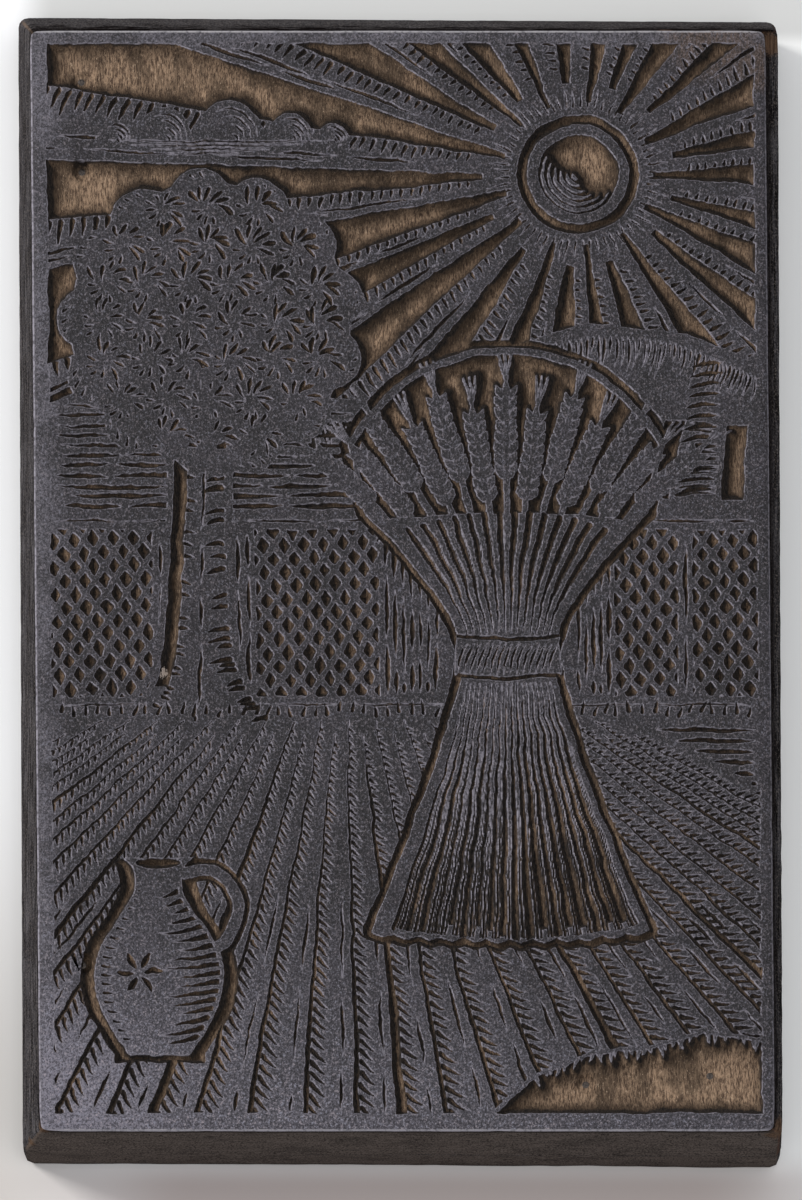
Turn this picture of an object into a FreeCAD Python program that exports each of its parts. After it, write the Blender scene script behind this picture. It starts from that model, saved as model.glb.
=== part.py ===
import FreeCAD, Part
import math
import os

from FreeCAD import Vector

# A relief printing block: a carved plank on a square board, made up to type height.
# X runs across the block, Y along it and Z up out of the printing face.
# The origin is under the middle of the block, on the bed that it stands on.

# Driving dimensions, in millimetres

# The block as a whole
type_height = 23.3
near_width = 117.4
far_end_widening = 1.8
block_length = 182.1
corner_radius = 1.6

# How far out of square it was sawn: the near end stands over to the right, and both ends fall away there
near_end_shift = 0.7
end_fall = 0.7

# What it is built up from, the board taking what the others leave
plank_thickness = 12.7
underlay_thickness = 0.6
underlay_inset = 0.8
foot_rounding = 0.5

# How far each side of the plank slopes in to the printing face, taken at the near end
left_slope = 2.9
right_slope = 1.3
near_slope = 1.7
far_slope = 5.35
# How much further to the left the face's far end stands than that
face_turn = 0.8
# The right side slopes down to here only, and then stands upright
right_shoulder_drop = 2.2
face_corner_radius = 1.1
arris_width = 0.3
arris_drop = 0.35

# The plain border left round the picture
border_left = 2.3
border_right = 1.7
border_near = 2.6
border_far = 1.9

# How deep the cuts go
ground_depth = 2.2
groove_depth = 1.2
fine_depth = 0.6
cutter_overrun = 1.0

# Brads through the cleared ground
brad_length = 16.0
brad_radius = 0.55
brad_head_radius = 0.75
brad_head_thickness = 0.45
brad_point_length = 1.6
brad_set = 0.1
brad_clearance = 0.02

# The sun and its rays
sun_core_radius = 6.3
sun_ring_radius = 7.9
sun_gap_radius = 9.6
ray_start = 11.5
ray_stagger = 3.2
ray_reach = 130.0
cloud_sag = 2.0

# The tree's crown and trunk
crown_half_width = 20.5
crown_half_height = 21.5
crown_lobe_radius = 5.0
trunk_clearing = 2.2
trunk_margin = 0.9
leaf_clump_width = 7.0
leaf_clump_radius = 3.7
leaf_length = 2.9
leaf_width = 0.8
comb_length = 3.4
comb_width = 0.75

# The fence panels
lattice_pitch = 2.5
lattice_line = 0.8
smallest_cut = 1.0

# The ploughed ground
furrow_wide = 1.9
furrow_narrow = 1.0
furrow_tip = 0.3
furrow_bow = 0.8
furrow_lead = 0.45
furrow_stagger = 2.25
furrow_spread = 300.0

# The jug
jug_height = 31.0
jug_half_width = 9.9
jug_clearing = 2.4
jug_comb_width = 0.7
jug_handle_width = 3.6
jug_handle_line = 1.7

# The sheaf
sheaf_waist_half = 6.0
sheaf_flare = 13.5
sheaf_upper = 27.0
sheaf_lower = 46.0
sheaf_head_rise = 20.0
sheaf_head_half_width = 27.5
sheaf_head_height = 29.0
sheaf_channel = 1.4
head_rim = 1.0
stalk_groove_tip = 0.28
stalk_groove_width = 1.1
leg_groove_width = 1.3
ear_length = 15.5
ear_half_width = 1.35
ear_stalk_half = 0.45
foot_tooth = 0.62
band_half_height = 3.1
band_groove_width = 0.75
band_cut_width = 0.62

# Places in the picture, in hundredths of its width and of its height
hill_shares = ((0.1, 66.0), (12, 69.0), (30, 67.5), (46, 66.0), (60, 70.0), (76, 73.5), (90, 72.5),
               (99.9, 70.0))
sun_share = (75, 87.5)
crown_share = (23, 73.5)
cloud_share = (7, 90.4)
waist_share = (64.5, 42.5)
vanish_share = (42, 50)
jug_share = (15, 5.5)
low_edge_share = 0.1
high_edge_share = 99.9
ground_top_share = 36.6
fence_low_share = 38.6
fence_high_share = 54.2
panel_shares = ((0.2, 14.6), (29.0, 46.5), (79.5, 88.6), (90.6, 99.8))
trunk_left_shares = ((19.8, 62), (19.2, 54), (18.2, 45), (16.6, 39.5), (12.5, 36.4))
trunk_right_shares = ((25.4, 62), (25.0, 54), (25.6, 45), (27.2, 40), (31.5, 36.2))
ditch_shares = ((62, 0.1), (99.9, 0.1), (99.9, 6.6), (92, 7.6), (84, 6.0), (76, 5.6), (68, 3.4))
field_shares = (((73.5, 57.0), (76.9, 57.0), (80.5, 64.0), (77.5, 64.0)),
                ((84.0, 57.0), (87.4, 57.0), (89.8, 64.4), (86.8, 64.4)),
                ((94.5, 57.0), (97.9, 57.0), (98.6, 64.0), (95.6, 64.0)))
brad_shares = ((5.0, 96.5), (5.0, 88.0), (91.0, 77.0), (4.2, 14.0), (75.0, 3.0), (92.5, 3.8))
cloud_lobe_shares = (2.7, 4.2, 5.1, 3.5, 2.4)
cloud_rise_share = 1.25
# The jug's half widths, each with its height, as shares of its greatest half width and its height
jug_profile_shares = ((0.46, 0), (0.55, 0.04), (0.87, 0.21), (1, 0.39), (0.89, 0.56), (0.53, 0.73),
                      (0.37, 0.84), (0.40, 0.95), (0.53, 1))
jug_handle_shares = ((0.40, 0.92), (0.91, 0.93), (1.23, 0.79), (1.11, 0.61), (0.87, 0.54))

# Angles, in degrees
lattice_angles = (57, -52)
leaf_angles = (-28, 8, 44, 80, 116)
leaf_turn = 166
trunk_comb_angle = 192
jug_comb_angle = 184
sheaf_head_reach = 62
cleared_head_reach = 66

# Numbers of cuts
ray_count = 26
lobe_count = 13
leaf_row_count = 7
trunk_comb_count = 20
ridge_cut_count = 22
furrow_count = 39
jug_comb_count = 15
ear_count = 13
stalk_count = 15
leg_count = 18
foot_teeth = 24
band_cut_count = 11

# Sizes that follow
board_thickness = type_height - plank_thickness - underlay_thickness
board_top = type_height - plank_thickness
far_width = near_width + far_end_widening
face_width = near_width - left_slope - right_slope
face_length = block_length - near_slope - far_slope
face_shift = (left_slope - right_slope) / 2
field_width = face_width - border_left - border_right
field_length = face_length - border_near - border_far
face_near = -block_length / 2 + near_slope
field_left = border_left - face_width / 2
field_near = face_near + border_near


def placed(x, y):
    """A place on the face, from where it would lie if the face were square and as wide as its near end."""
    far_share = 0.5 + y / block_length
    shift = face_shift + near_end_shift * (1 - far_share) - face_turn * far_share
    return Vector(shift + x * (1 + far_end_widening / face_width * far_share), y, 0)


def at(u, v):
    """A place in the picture, on the floor plane, from its two shares."""
    return placed(field_left + u * field_width / 100, field_near + v * field_length / 100)


def direction(angle):
    return Vector(math.cos(angle), math.sin(angle), 0)


def blend(a, b, t):
    return a + (b - a) * t


def closed_wire(points):
    return Part.makePolygon(list(points) + [points[0]])


def plane_face(points):
    return Part.Face(closed_wire(points))


def lobed_face(arcs):
    """A face edged by arcs, each given by three points, with a straight edge from one to the next."""
    edges = []
    for i, (start, middle, end) in enumerate(arcs):
        edges.append(Part.Arc(start, middle, end).toShape())
        after = arcs[(i + 1) % len(arcs)][0]
        if end.distanceToPoint(after) > Part.Precision.confusion():
            edges.append(Part.makeLine(end, after))
    return Part.Face(Part.Wire(edges))


def taper(line, widths):
    """A cut along a line of points, as wide at each as given there."""
    left, right = [], []
    for i, point in enumerate(line):
        along = line[min(i + 1, len(line) - 1)] - line[max(i - 1, 0)]
        across = Vector(-along.y, along.x, 0).normalize()
        left.append(point + across * (widths[i] / 2))
        right.append(point - across * (widths[i] / 2))
    return plane_face(left + right[::-1])


def comb_cut(root, angle, length, width):
    """A short cut, widest near its root, drawn out to a point."""
    along = direction(angle)
    across = Vector(-along.y, along.x, 0)
    return plane_face([root - across * width * 0.3, root + along * length * 0.3 - across * width * 0.5,
                       root + along * length, root + along * length * 0.3 + across * width * 0.5,
                       root + across * width * 0.3])


def pointed_cut(start, end, width, bow):
    """A cut pointed at both ends, its middle moved aside by bow."""
    middle = blend(start, end, 0.5)
    along = end - start
    across = Vector(-along.y, along.x, 0).normalize()
    low, high = middle + across * (bow - width / 2), middle + across * (bow + width / 2)
    return plane_face([start, low, end, high])


def touches(a, b):
    return a.BoundBox.intersect(b.BoundBox)


def sound(face):
    """The face without any loose edge that clipping left inside it."""
    holes = [wire for wire in face.Wires if wire.isClosed() and not wire.isSame(face.OuterWire)]
    return Part.Face([face.OuterWire] + holes)


def clipped(shapes, inside=None, kept=()):
    """The shapes' parts that lie inside a face and clear of the kept silhouettes."""
    out = []
    for shape in shapes:
        if inside is not None:
            shape = shape.common(inside)
        for silhouette in kept:
            if shape.Faces and touches(shape, silhouette):
                shape = shape.cut(silhouette)
        out += [sound(face) for face in shape.Faces if face.Area > smallest_cut ** 2]
    return out


def pocket(face, depth):
    """The wood taken out under a face of the picture."""
    cutter = face.extrude(Vector(0, 0, depth + cutter_overrun))
    cutter.translate(Vector(0, 0, type_height - depth))
    return cutter


# The silhouettes that stand out of the cleared ground


def crown_face():
    middle = at(*crown_share)
    arcs = []
    for k in range(lobe_count):
        angle = 2 * math.pi * k / lobe_count + 0.2
        centre = middle + Vector(crown_half_width * math.cos(angle), crown_half_height * math.sin(angle), 0)
        centre = centre - direction(angle) * (crown_lobe_radius * 0.35)
        arcs.append([centre + direction(angle + turn) * crown_lobe_radius for turn in (-1.1, 0, 1.1)])
    return lobed_face(arcs)


def cloud_face():
    left = at(*cloud_share)
    arcs = []
    for share in cloud_lobe_shares:
        radius = share * field_width / 100
        right = left + Vector(2 * radius, 0, 0)
        top = blend(left, right, 0.5) + Vector(0, cloud_rise_share * radius, 0)
        arcs.append([left, top, right])
        left = right
    foot = blend(left, at(*cloud_share), 0.5) - Vector(0, cloud_sag, 0)
    edges = [Part.Arc(*arc).toShape() for arc in arcs]
    edges.append(Part.Arc(left, foot, at(*cloud_share)).toShape())
    return Part.Face(Part.Wire(edges))


def trunk_face(left_margin, right_margin):
    left = [at(u, v) - Vector(left_margin, 0, 0) for u, v in trunk_left_shares]
    right = [at(u, v) + Vector(right_margin, 0, 0) for u, v in trunk_right_shares]
    return plane_face(left + right[::-1])


def jug_side(grow):
    return [(share * jug_half_width + grow, rise * jug_height) for share, rise in jug_profile_shares]


def jug_face(grow):
    foot = at(*jug_share)
    side = jug_side(grow)
    right = [foot + Vector(x, y - (grow / 2 if y == 0 else 0), 0) for x, y in side]
    left = [foot + Vector(-x, y - (grow / 2 if y == 0 else 0), 0) for x, y in side]
    return plane_face(right + left[::-1])


def jug_handle_line_points():
    foot = at(*jug_share)
    return [foot + Vector(u * jug_half_width, v * jug_height, 0) for u, v in jug_handle_shares]


def stalk(side, t):
    """A stalk's line over the waist: side is -1 to 1 and t 0 at the waist, 1 at the ears."""
    x = sheaf_waist_half * side + sheaf_flare * side * t ** 1.5
    y = sheaf_upper * (t - 0.13 * side * side * t)
    return at(*waist_share) + Vector(x, y, 0)


def leg(side, t):
    """A stalk's line under the waist, down to t of 1 at the foot."""
    x = sheaf_waist_half * side + sheaf_flare * side * t ** 1.25
    y = -sheaf_lower * (t - 0.043 * side * side * t)
    return at(*waist_share) + Vector(x, y, 0)


def head_point(angle, inset):
    waist = at(*waist_share)
    return waist + Vector((sheaf_head_half_width - inset) * math.sin(angle),
                          sheaf_head_rise + (sheaf_head_height - inset) * math.cos(angle), 0)


def sheaf_face(grow):
    """The whole sheaf: round head, drawn-in waist and ragged foot."""
    side = [leg(1.1, 1 - i / 6) for i in range(6)] + [stalk(1.12, i / 6) for i in range(7)]
    turns = [math.radians(sheaf_head_reach * (1 - i / 6)) for i in range(13)]
    head = [head_point(angle, -grow) for angle in turns]
    centre = at(*waist_share).x
    right = [Vector(p.x + grow, p.y, 0) for p in side]
    left = [Vector(2 * centre - p.x, p.y, 0) for p in right[::-1]]
    foot = []
    low = leg(1.1, 1)
    half = low.x - centre + grow
    for i in range(1, foot_teeth):
        share = 2 * i / foot_teeth - 1
        drop = grow + foot_tooth * (2 * (1 - share * share) + i % 2)
        foot.append(Vector(centre + half * share, low.y - drop, 0))
    right[0] = Vector(right[0].x, right[0].y - grow, 0)
    left[-1] = Vector(left[-1].x, left[-1].y - grow, 0)
    return plane_face(right + head + left + foot)


# The cuts of each part of the picture


def sky_cuts(kept):
    """Rays of cleared ground from the sun to the hills and the border, and the sun's rings."""
    corners = [at(high_edge_share, high_edge_share), at(low_edge_share, high_edge_share)]
    sky = plane_face([at(u, v) for u, v in hill_shares] + corners)
    sun = at(*sun_share)
    rays = []
    for k in range(ray_count):
        angle = 2 * math.pi * (k + 0.15 * math.sin(5 * k)) / ray_count
        half = math.pi / ray_count * (0.62 + 0.12 * math.sin(3.7 * k))
        start = ray_start + ray_stagger * (k % 2)
        near = [sun + direction(angle + turn * 0.55) * start for turn in (half, -half)]
        far = [sun + direction(angle + turn) * ray_reach for turn in (-half, half)]
        rays.append(plane_face(near + far))
    cuts = clipped(rays, sky, kept)
    rings = [Part.Face(Part.Wire(Part.makeCircle(radius, sun)))
             for radius in (sun_gap_radius, sun_ring_radius, sun_core_radius)]
    return cuts + [rings[0].cut(rings[1]).Faces[0], rings[2]]


def hill_cuts():
    """Cuts down from the skyline, and three long fields."""
    cuts = []
    start, end = hill_shares[3], hill_shares[6]
    for k in range(ridge_cut_count):
        t = (k + 0.5) / ridge_cut_count
        u = start[0] + (end[0] - start[0]) * t
        spans = [pair for pair in zip(hill_shares[:-1], hill_shares[1:]) if pair[0][0] <= u <= pair[1][0]]
        (u0, v0), (u1, v1) = spans[0]
        root = at(u, v0 + (v1 - v0) * (u - u0) / (u1 - u0)) - Vector(0, comb_width, 0)
        length = comb_length * (1.2 + 0.3 * math.sin(3 * k))
        cuts.append(comb_cut(root, math.radians(-70 - 36 * t), length, comb_width))
    return cuts + [plane_face([at(u, v) for u, v in field]) for field in field_shares]


def leaf_cuts():
    """Rows of leaf clumps over the crown, each a fan of short cuts."""
    middle = at(*crown_share)
    cuts = []
    for row in range(leaf_row_count):
        rise = 1 - 2 * (row + 0.5) / leaf_row_count
        half = crown_half_width * math.sqrt(1 - rise * rise)
        clumps = round(2 * half / leaf_clump_width)
        for i in range(clumps):
            across = half * (2 * (i + 0.5) / clumps - 1)
            root = middle + Vector(across, crown_half_height * rise, 0)
            for angle in leaf_angles:
                start = root + direction(math.radians(angle)) * leaf_clump_radius
                cuts.append(comb_cut(start, math.radians(angle + leaf_turn), leaf_length, leaf_width))
    return cuts


def fence_cuts(kept):
    """Lozenge cells left between crossing lines, panel by panel."""
    cuts = []
    normals = [direction(math.radians(angle + 90)) for angle in lattice_angles]
    spin = normals[0].x * normals[1].y - normals[0].y * normals[1].x
    origin = at(0, 0)
    inset = lattice_line / 2
    for left, right in panel_shares:
        low, high = at(left, fence_low_share), at(right, fence_high_share)
        corners = [low, Vector(high.x, low.y, 0), high, Vector(low.x, high.y, 0)]
        panel = plane_face(corners)
        spans = []
        for normal in normals:
            reach = [(corner - origin).dot(normal) / lattice_pitch for corner in corners]
            spans.append(range(math.floor(min(reach)), math.ceil(max(reach))))
        cells = []
        for i in spans[0]:
            for j in spans[1]:
                points = []
                for a, b in ((0, 0), (1, 0), (1, 1), (0, 1)):
                    p = (i + a) * lattice_pitch + (inset if a == 0 else -inset)
                    q = (j + b) * lattice_pitch + (inset if b == 0 else -inset)
                    x = (p * normals[1].y - q * normals[0].y) / spin
                    y = (q * normals[0].x - p * normals[1].x) / spin
                    points.append(origin + Vector(x, y, 0))
                cells.append(plane_face(points))
        cells = [cell for cell in cells if touches(cell, panel)]
        cuts += clipped(cells, panel, kept)
    return cuts


def trunk_cuts():
    """A cleared strip down the trunk's left side and a comb of cuts down its right."""
    left = [at(u, v) for u, v in trunk_left_shares[:-1]]
    strip = [p - Vector(trunk_clearing, 0, 0) for p in left]
    cuts = []
    for k in range(trunk_comb_count):
        t = (k + 0.5) / trunk_comb_count * (len(trunk_right_shares) - 1)
        i = int(t)
        root = blend(at(*trunk_right_shares[i]), at(*trunk_right_shares[i + 1]), t - i)
        length = comb_length * (1 + 0.15 * math.sin(4 * k))
        root = root - Vector(comb_width / 2, 0, 0)
        cuts.append(comb_cut(root, math.radians(trunk_comb_angle), length, comb_width))
    return plane_face(strip + left[::-1]), cuts


def ground_cuts(kept):
    """Furrows that run out from one point beyond the fence, and a cleared ditch."""
    ground = plane_face([at(low_edge_share, low_edge_share), at(high_edge_share, low_edge_share),
                         at(high_edge_share, ground_top_share), at(low_edge_share, ground_top_share)])
    vanish = at(*vanish_share)
    depth = vanish.y - field_near
    top = at(0, ground_top_share).y
    furrows = []
    for k in range(furrow_count):
        run = furrow_spread * ((k + 0.5) / furrow_count - 0.5)
        along = Vector(run, -depth, 0)
        lead = furrow_lead + furrow_stagger * ((k + 1) % 2)
        start = vanish + along * ((vanish.y - top + lead) / depth)
        end = vanish + along
        across = Vector(depth, run, 0).normalize()
        wide = furrow_wide if (k * 2) % 5 == 0 else furrow_narrow
        line, widths = [], []
        for t in (0, 0.35, 0.7, 1):
            bow = furrow_bow * math.sin(2.4 * t + 1.3 * k) * t
            line.append(blend(start, end, t) + across * bow)
            widths.append(furrow_tip + (wide - furrow_tip) * t)
        furrows.append(taper(line, widths))
    ditch = plane_face([at(u, v) for u, v in ditch_shares])
    return clipped(furrows, ground, list(kept) + [ditch]), ditch


def jug_cuts():
    """The clearing round the jug, its handle's inside, its mouth and the cuts round its lit side."""
    foot = at(*jug_share)
    line = jug_handle_line_points()
    handle = taper(line, [jug_handle_line] * len(line))
    jug = jug_face(0)
    around = jug_face(jug_clearing).fuse(taper(line, [jug_handle_width] * len(line)))
    clearing = clipped([around], None, [jug, handle])
    side = jug_side(0)
    fine = []
    for k in range(jug_comb_count):
        y = jug_height * (0.09 + 0.64 * k / jug_comb_count)
        spans = [pair for pair in zip(side[:-1], side[1:]) if pair[0][1] <= y <= pair[1][1]]
        (x0, y0), (x1, y1) = spans[0]
        half = x0 + (x1 - x0) * (y - y0) / (y1 - y0)
        root = foot + Vector(half * 0.9, y, 0)
        length = half * (0.85 + 0.12 * math.sin(1.7 * k))
        fine.append(comb_cut(root, math.radians(jug_comb_angle), length, jug_comb_width))
    mouth = Part.Ellipse(foot + Vector(0, jug_height, 0), jug_half_width * 0.36, jug_half_width * 0.09)
    fine.append(Part.Face(Part.Wire(mouth.toShape())).cut(jug).Faces[0])
    return clearing, fine


def ear_face(side, raised):
    """One ear and the stalk under it, as they stand in the cleared head."""
    along = direction(math.radians(90 - 47 * side))
    across = Vector(-along.y, along.x, 0)
    foot = stalk(side, 0.9) + along * (ear_length * 0.23 if raised else 0)
    length = ear_length * (1 - 0.1 * abs(side))
    right = [foot + along * length * t - across * ear_half_width * w
             for t, w in ((0, 0.35), (0.12, 0.9), (0.45, 1), (0.8, 0.8))]
    left = [foot + along * length * t + across * ear_half_width * w
            for t, w in ((0.8, 0.8), (0.45, 1), (0.12, 0.9), (0, 0.35))]
    ear = plane_face(right + [foot + along * length] + left)
    return ear.fuse(taper([stalk(side, 0.72), foot + along * ear_half_width], [2 * ear_stalk_half] * 2))


def sheaf_cuts():
    """The channel round the sheaf, the cleared head with its ears, and the grooves between stalks."""
    channel = sheaf_face(sheaf_channel).cut(sheaf_face(0)).Faces
    turns = [math.radians(cleared_head_reach * (1 - i / 7)) for i in range(15)]
    head = [head_point(angle, head_rim) for angle in turns]
    foot = [stalk(1.05 * share / 5, 0.83 + 0.1 * (share / 5) ** 2) for share in range(-5, 6)]
    ears = []
    for k in range(ear_count):
        side = 2 * k / (ear_count - 1) - 1
        ears.append(ear_face(side, k % 2 == 0))
    cleared = clipped([plane_face(head + foot)], None, ears)
    grooves = []
    stages = (0, 0.35, 0.7, 1)
    for k in range(stalk_count - 1):
        side = (2 * k + 1) / (stalk_count - 1) - 1
        line = [stalk(side, 0.14 + 0.64 * t) for t in stages]
        widths = [blend(stalk_groove_tip, stalk_groove_width, t) for t in stages]
        grooves.append(taper(line, widths))
    for k in range(leg_count):
        side = (2 * k + 1) / leg_count - 1
        line = [leg(side, 0.12 + 0.86 * t) for t in stages]
        wide = leg_groove_width * (1 if side > 0 else 0.65)
        grooves.append(taper(line, [blend(stalk_groove_tip, wide, t) for t in stages]))
    waist = at(*waist_share)
    fine = []
    for rise in (-band_half_height, band_half_height):
        ends = [waist + Vector(x, rise, 0) for x in (-1.25 * sheaf_waist_half, 1.25 * sheaf_waist_half)]
        middle = waist + Vector(0, rise - band_groove_width, 0)
        fine.append(taper([ends[0], middle, ends[1]], [band_groove_width] * 3))
    for k in range(band_cut_count):
        x = sheaf_waist_half * (2.2 * k / (band_cut_count - 1) - 1.1)
        low = waist + Vector(x - band_groove_width, band_groove_width - band_half_height * 0.95, 0)
        high = waist + Vector(x + band_groove_width, band_half_height * 0.4, 0)
        fine.append(pointed_cut(low, high, band_cut_width, band_cut_width / 4))
    return channel, cleared, grooves, fine


# The pieces


def rounded_outline(corners, radius, height):
    """A closed wire through four corners at one height, each corner rounded."""
    edges = []
    count = len(corners)
    ends = []
    for i, corner in enumerate(corners):
        back = (corners[i - 1] - corner).normalize()
        ahead = (corners[(i + 1) % count] - corner).normalize()
        half = back.getAngle(ahead) / 2
        reach = radius / math.tan(half)
        middle = corner + (back + ahead).normalize() * (radius / math.sin(half) - radius)
        ends.append((corner + back * reach, middle, corner + ahead * reach))
    for i, (start, middle, end) in enumerate(ends):
        edges.append(Part.Arc(start, middle, end).toShape())
        edges.append(Part.makeLine(end, ends[(i + 1) % count][0]))
    wire = Part.Wire(edges)
    wire.translate(Vector(0, 0, height))
    return wire


def base_corners(inset):
    near, far = -block_length / 2 + inset, block_length / 2 - inset
    near_half, far_half = near_width / 2 - inset, far_width / 2 - inset
    return [Vector(near_end_shift - near_half, near + end_fall, 0),
            Vector(near_end_shift + near_half, near, 0),
            Vector(far_half, far - end_fall, 0), Vector(-far_half, far, 0)]


def face_corners(grow):
    half = face_width / 2 + grow
    near, far = face_near - grow, face_near + face_length + grow
    return [placed(-half, near), placed(half, near), placed(half, far), placed(-half, far)]


def shoulder_corners():
    """The plank's outline where its right side stops sloping, on the other sides' straight slope."""
    share = (plank_thickness - right_shoulder_drop) / (plank_thickness - arris_drop)
    base, face = base_corners(0), face_corners(0)
    corners = [blend(low, high, share) for low, high in zip(base, face)]
    return [corners[0], Vector(base[1].x, corners[1].y, 0), Vector(base[2].x, corners[2].y, 0), corners[3]]


def brad_places():
    return [at(u, v) for u, v in brad_shares]


def brad_top():
    return type_height - ground_depth - brad_set


def brad_shape(place, clearance):
    """A brad, or with a clearance the hole that it is driven into."""
    top = brad_top()
    radius = brad_radius + clearance
    head_low = top - brad_head_thickness - clearance
    point_top = top - brad_length + brad_point_length
    shank = Part.makeCylinder(radius, head_low - point_top, Vector(place.x, place.y, point_top))
    head_height = brad_head_thickness + clearance + (brad_set + cutter_overrun if clearance else 0)
    head = Part.makeCylinder(brad_head_radius + clearance, head_height, Vector(place.x, place.y, head_low))
    point_low = point_top - brad_point_length - clearance
    point = Part.makeCone(radius / 4, radius, point_top - point_low, Vector(place.x, place.y, point_low))
    return shank.fuse([head, point]).removeSplitter()


def make_carved_plank():
    sections = [rounded_outline(base_corners(0), corner_radius, board_top),
                rounded_outline(shoulder_corners(), corner_radius, type_height - right_shoulder_drop),
                rounded_outline(face_corners(0), face_corner_radius, type_height - arris_drop),
                rounded_outline(face_corners(-arris_width), face_corner_radius - arris_width, type_height)]
    plank = Part.makeLoft(sections, True, True)
    crown, cloud = crown_face(), cloud_face()
    trunk = trunk_face(trunk_clearing + trunk_margin, trunk_margin)
    jug_space, sheaf_space = jug_face(jug_clearing), sheaf_face(sheaf_channel)
    strip, trunk_combs = trunk_cuts()
    furrows, ditch = ground_cuts([jug_space, sheaf_space])
    jug_clearing_faces, jug_fine = jug_cuts()
    channel, head, grooves, band = sheaf_cuts()
    deep = sky_cuts([crown, cloud, sheaf_space]) + [strip, ditch] + jug_clearing_faces + channel + head
    middling = fence_cuts([trunk, sheaf_space]) + furrows + grooves
    fine = clipped(hill_cuts() + trunk_combs, None, [sheaf_space]) + jug_fine + band
    fine += clipped(leaf_cuts(), crown, [trunk])
    cutters = [pocket(face, ground_depth) for face in deep]
    cutters += [pocket(face, groove_depth) for face in middling]
    cutters += [pocket(face, fine_depth) for face in fine]
    holes = [brad_shape(place, brad_clearance) for place in brad_places()]
    return plank.cut(cutters).cut(holes)


def make_mount_board():
    outline = rounded_outline(base_corners(0), corner_radius, underlay_thickness)
    board = Part.Face(outline).extrude(Vector(0, 0, board_thickness))
    low = [edge for edge in board.Edges if edge.BoundBox.ZMax < underlay_thickness + foot_rounding / 2]
    board = board.makeFillet(foot_rounding, low)
    return board.cut([brad_shape(place, brad_clearance) for place in brad_places()])


def make_underlay_card():
    outline = rounded_outline(base_corners(underlay_inset), corner_radius, 0)
    return Part.Face(outline).extrude(Vector(0, 0, underlay_thickness))


def make_brads():
    return Part.makeCompound([brad_shape(place, 0) for place in brad_places()])


pieces = {
    "carved_plank": make_carved_plank,
    "mount_board": make_mount_board,
    "underlay_card": make_underlay_card,
    "plank_brads": make_brads,
}

os.makedirs("parts", exist_ok=True)
for name, make in pieces.items():
    shape = make()
    box = shape.BoundBox
    print(name, "solids", len(shape.Solids), "faces", len(shape.Faces), "valid", shape.isValid(),
          "volume", round(shape.Volume, 1), "z", round(box.ZMin, 3), round(box.ZMax, 3))
    shape.exportStep("parts/" + name + ".step")
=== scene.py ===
from math import atan2, cos, dist, hypot, pi, radians as deg, sin, sqrt

import bpy
import numpy as np
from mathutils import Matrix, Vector


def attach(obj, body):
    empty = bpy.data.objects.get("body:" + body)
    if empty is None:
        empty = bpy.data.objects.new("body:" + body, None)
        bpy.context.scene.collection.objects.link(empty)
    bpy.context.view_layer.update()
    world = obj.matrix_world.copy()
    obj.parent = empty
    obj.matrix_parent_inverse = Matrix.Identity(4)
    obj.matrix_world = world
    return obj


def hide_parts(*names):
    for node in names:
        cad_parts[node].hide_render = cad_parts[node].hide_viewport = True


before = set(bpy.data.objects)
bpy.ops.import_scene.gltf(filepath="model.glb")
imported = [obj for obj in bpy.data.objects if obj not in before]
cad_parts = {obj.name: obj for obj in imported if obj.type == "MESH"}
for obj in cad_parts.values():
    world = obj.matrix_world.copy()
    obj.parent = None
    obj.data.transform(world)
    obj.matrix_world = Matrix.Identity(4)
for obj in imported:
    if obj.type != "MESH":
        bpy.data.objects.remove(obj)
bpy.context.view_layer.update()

# A hand-cut relief block: a carved plank on a square board, a card underlay and six brads.
# Lengths are in millimetres up to the moment when a mesh is made.
MM = 0.001

# The block
TYPE_HEIGHT = 23.3
BOARD_TOP = 10.6
CARD_TOP = 0.6
NEAR_WIDTH, FAR_WIDTH, LENGTH = 117.4, 119.2, 182.1
NEAR_END_SHIFT, END_FALL = 0.7, 0.7
SHOULDER_DROP = 2.2
CORNER_RADIUS = 1.6
FOOT_ROUNDING = 0.5
FACE_LEFT, FACE_RIGHT, FACE_NEAR, FACE_FAR = -56.6, 56.6, -89.35, 85.7
FACE_SHIFT, FACE_TURN = 0.8, 0.8
FACE_CORNER_RADIUS = 1.1
ARRIS_WIDTH, ARRIS_DROP = 0.3, 0.35
ARRIS_RINGS = 3

# The picture's field inside its border
FIELD_LEFT, FIELD_NEAR, FIELD_WIDTH, FIELD_LENGTH = -54.3, -86.75, 109.2, 170.55
EDGE_SHARE = 0.1

# How far from a cut its edge still shows in the ink
RIM_REACH = 0.26

# How far around each cut, and around each piece of kept wood, distances are worked out
CUT_REACH, KEPT_REACH = 0.8, 4.0

# Depth of a line, what cleared ground adds to it, and the deepest place
LINE_DEPTH, GROUND_DEPTH, DEEPEST = 1.25, 0.95, 2.36

# The grid that the carving is worked out on, and the window that is all of it
STEP = 0.2
BLOCKS = (8, 4, 2)
TOP_NX = round((FACE_RIGHT - FACE_LEFT - 2 * ARRIS_WIDTH) / STEP / BLOCKS[0]) * BLOCKS[0]
TOP_NY = round((FACE_FAR - FACE_NEAR - 2 * ARRIS_WIDTH) / STEP / BLOCKS[0]) * BLOCKS[0]
EVERYWHERE = (slice(None), slice(None))

# Brads through the cleared ground, in shares of the field
BRAD_SHARES = ((5.0, 96.5), (5.0, 88.0), (91.0, 77.0), (4.2, 14.0), (75.0, 3.0), (92.5, 3.8))
BRAD_TOP = 21.0

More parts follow.
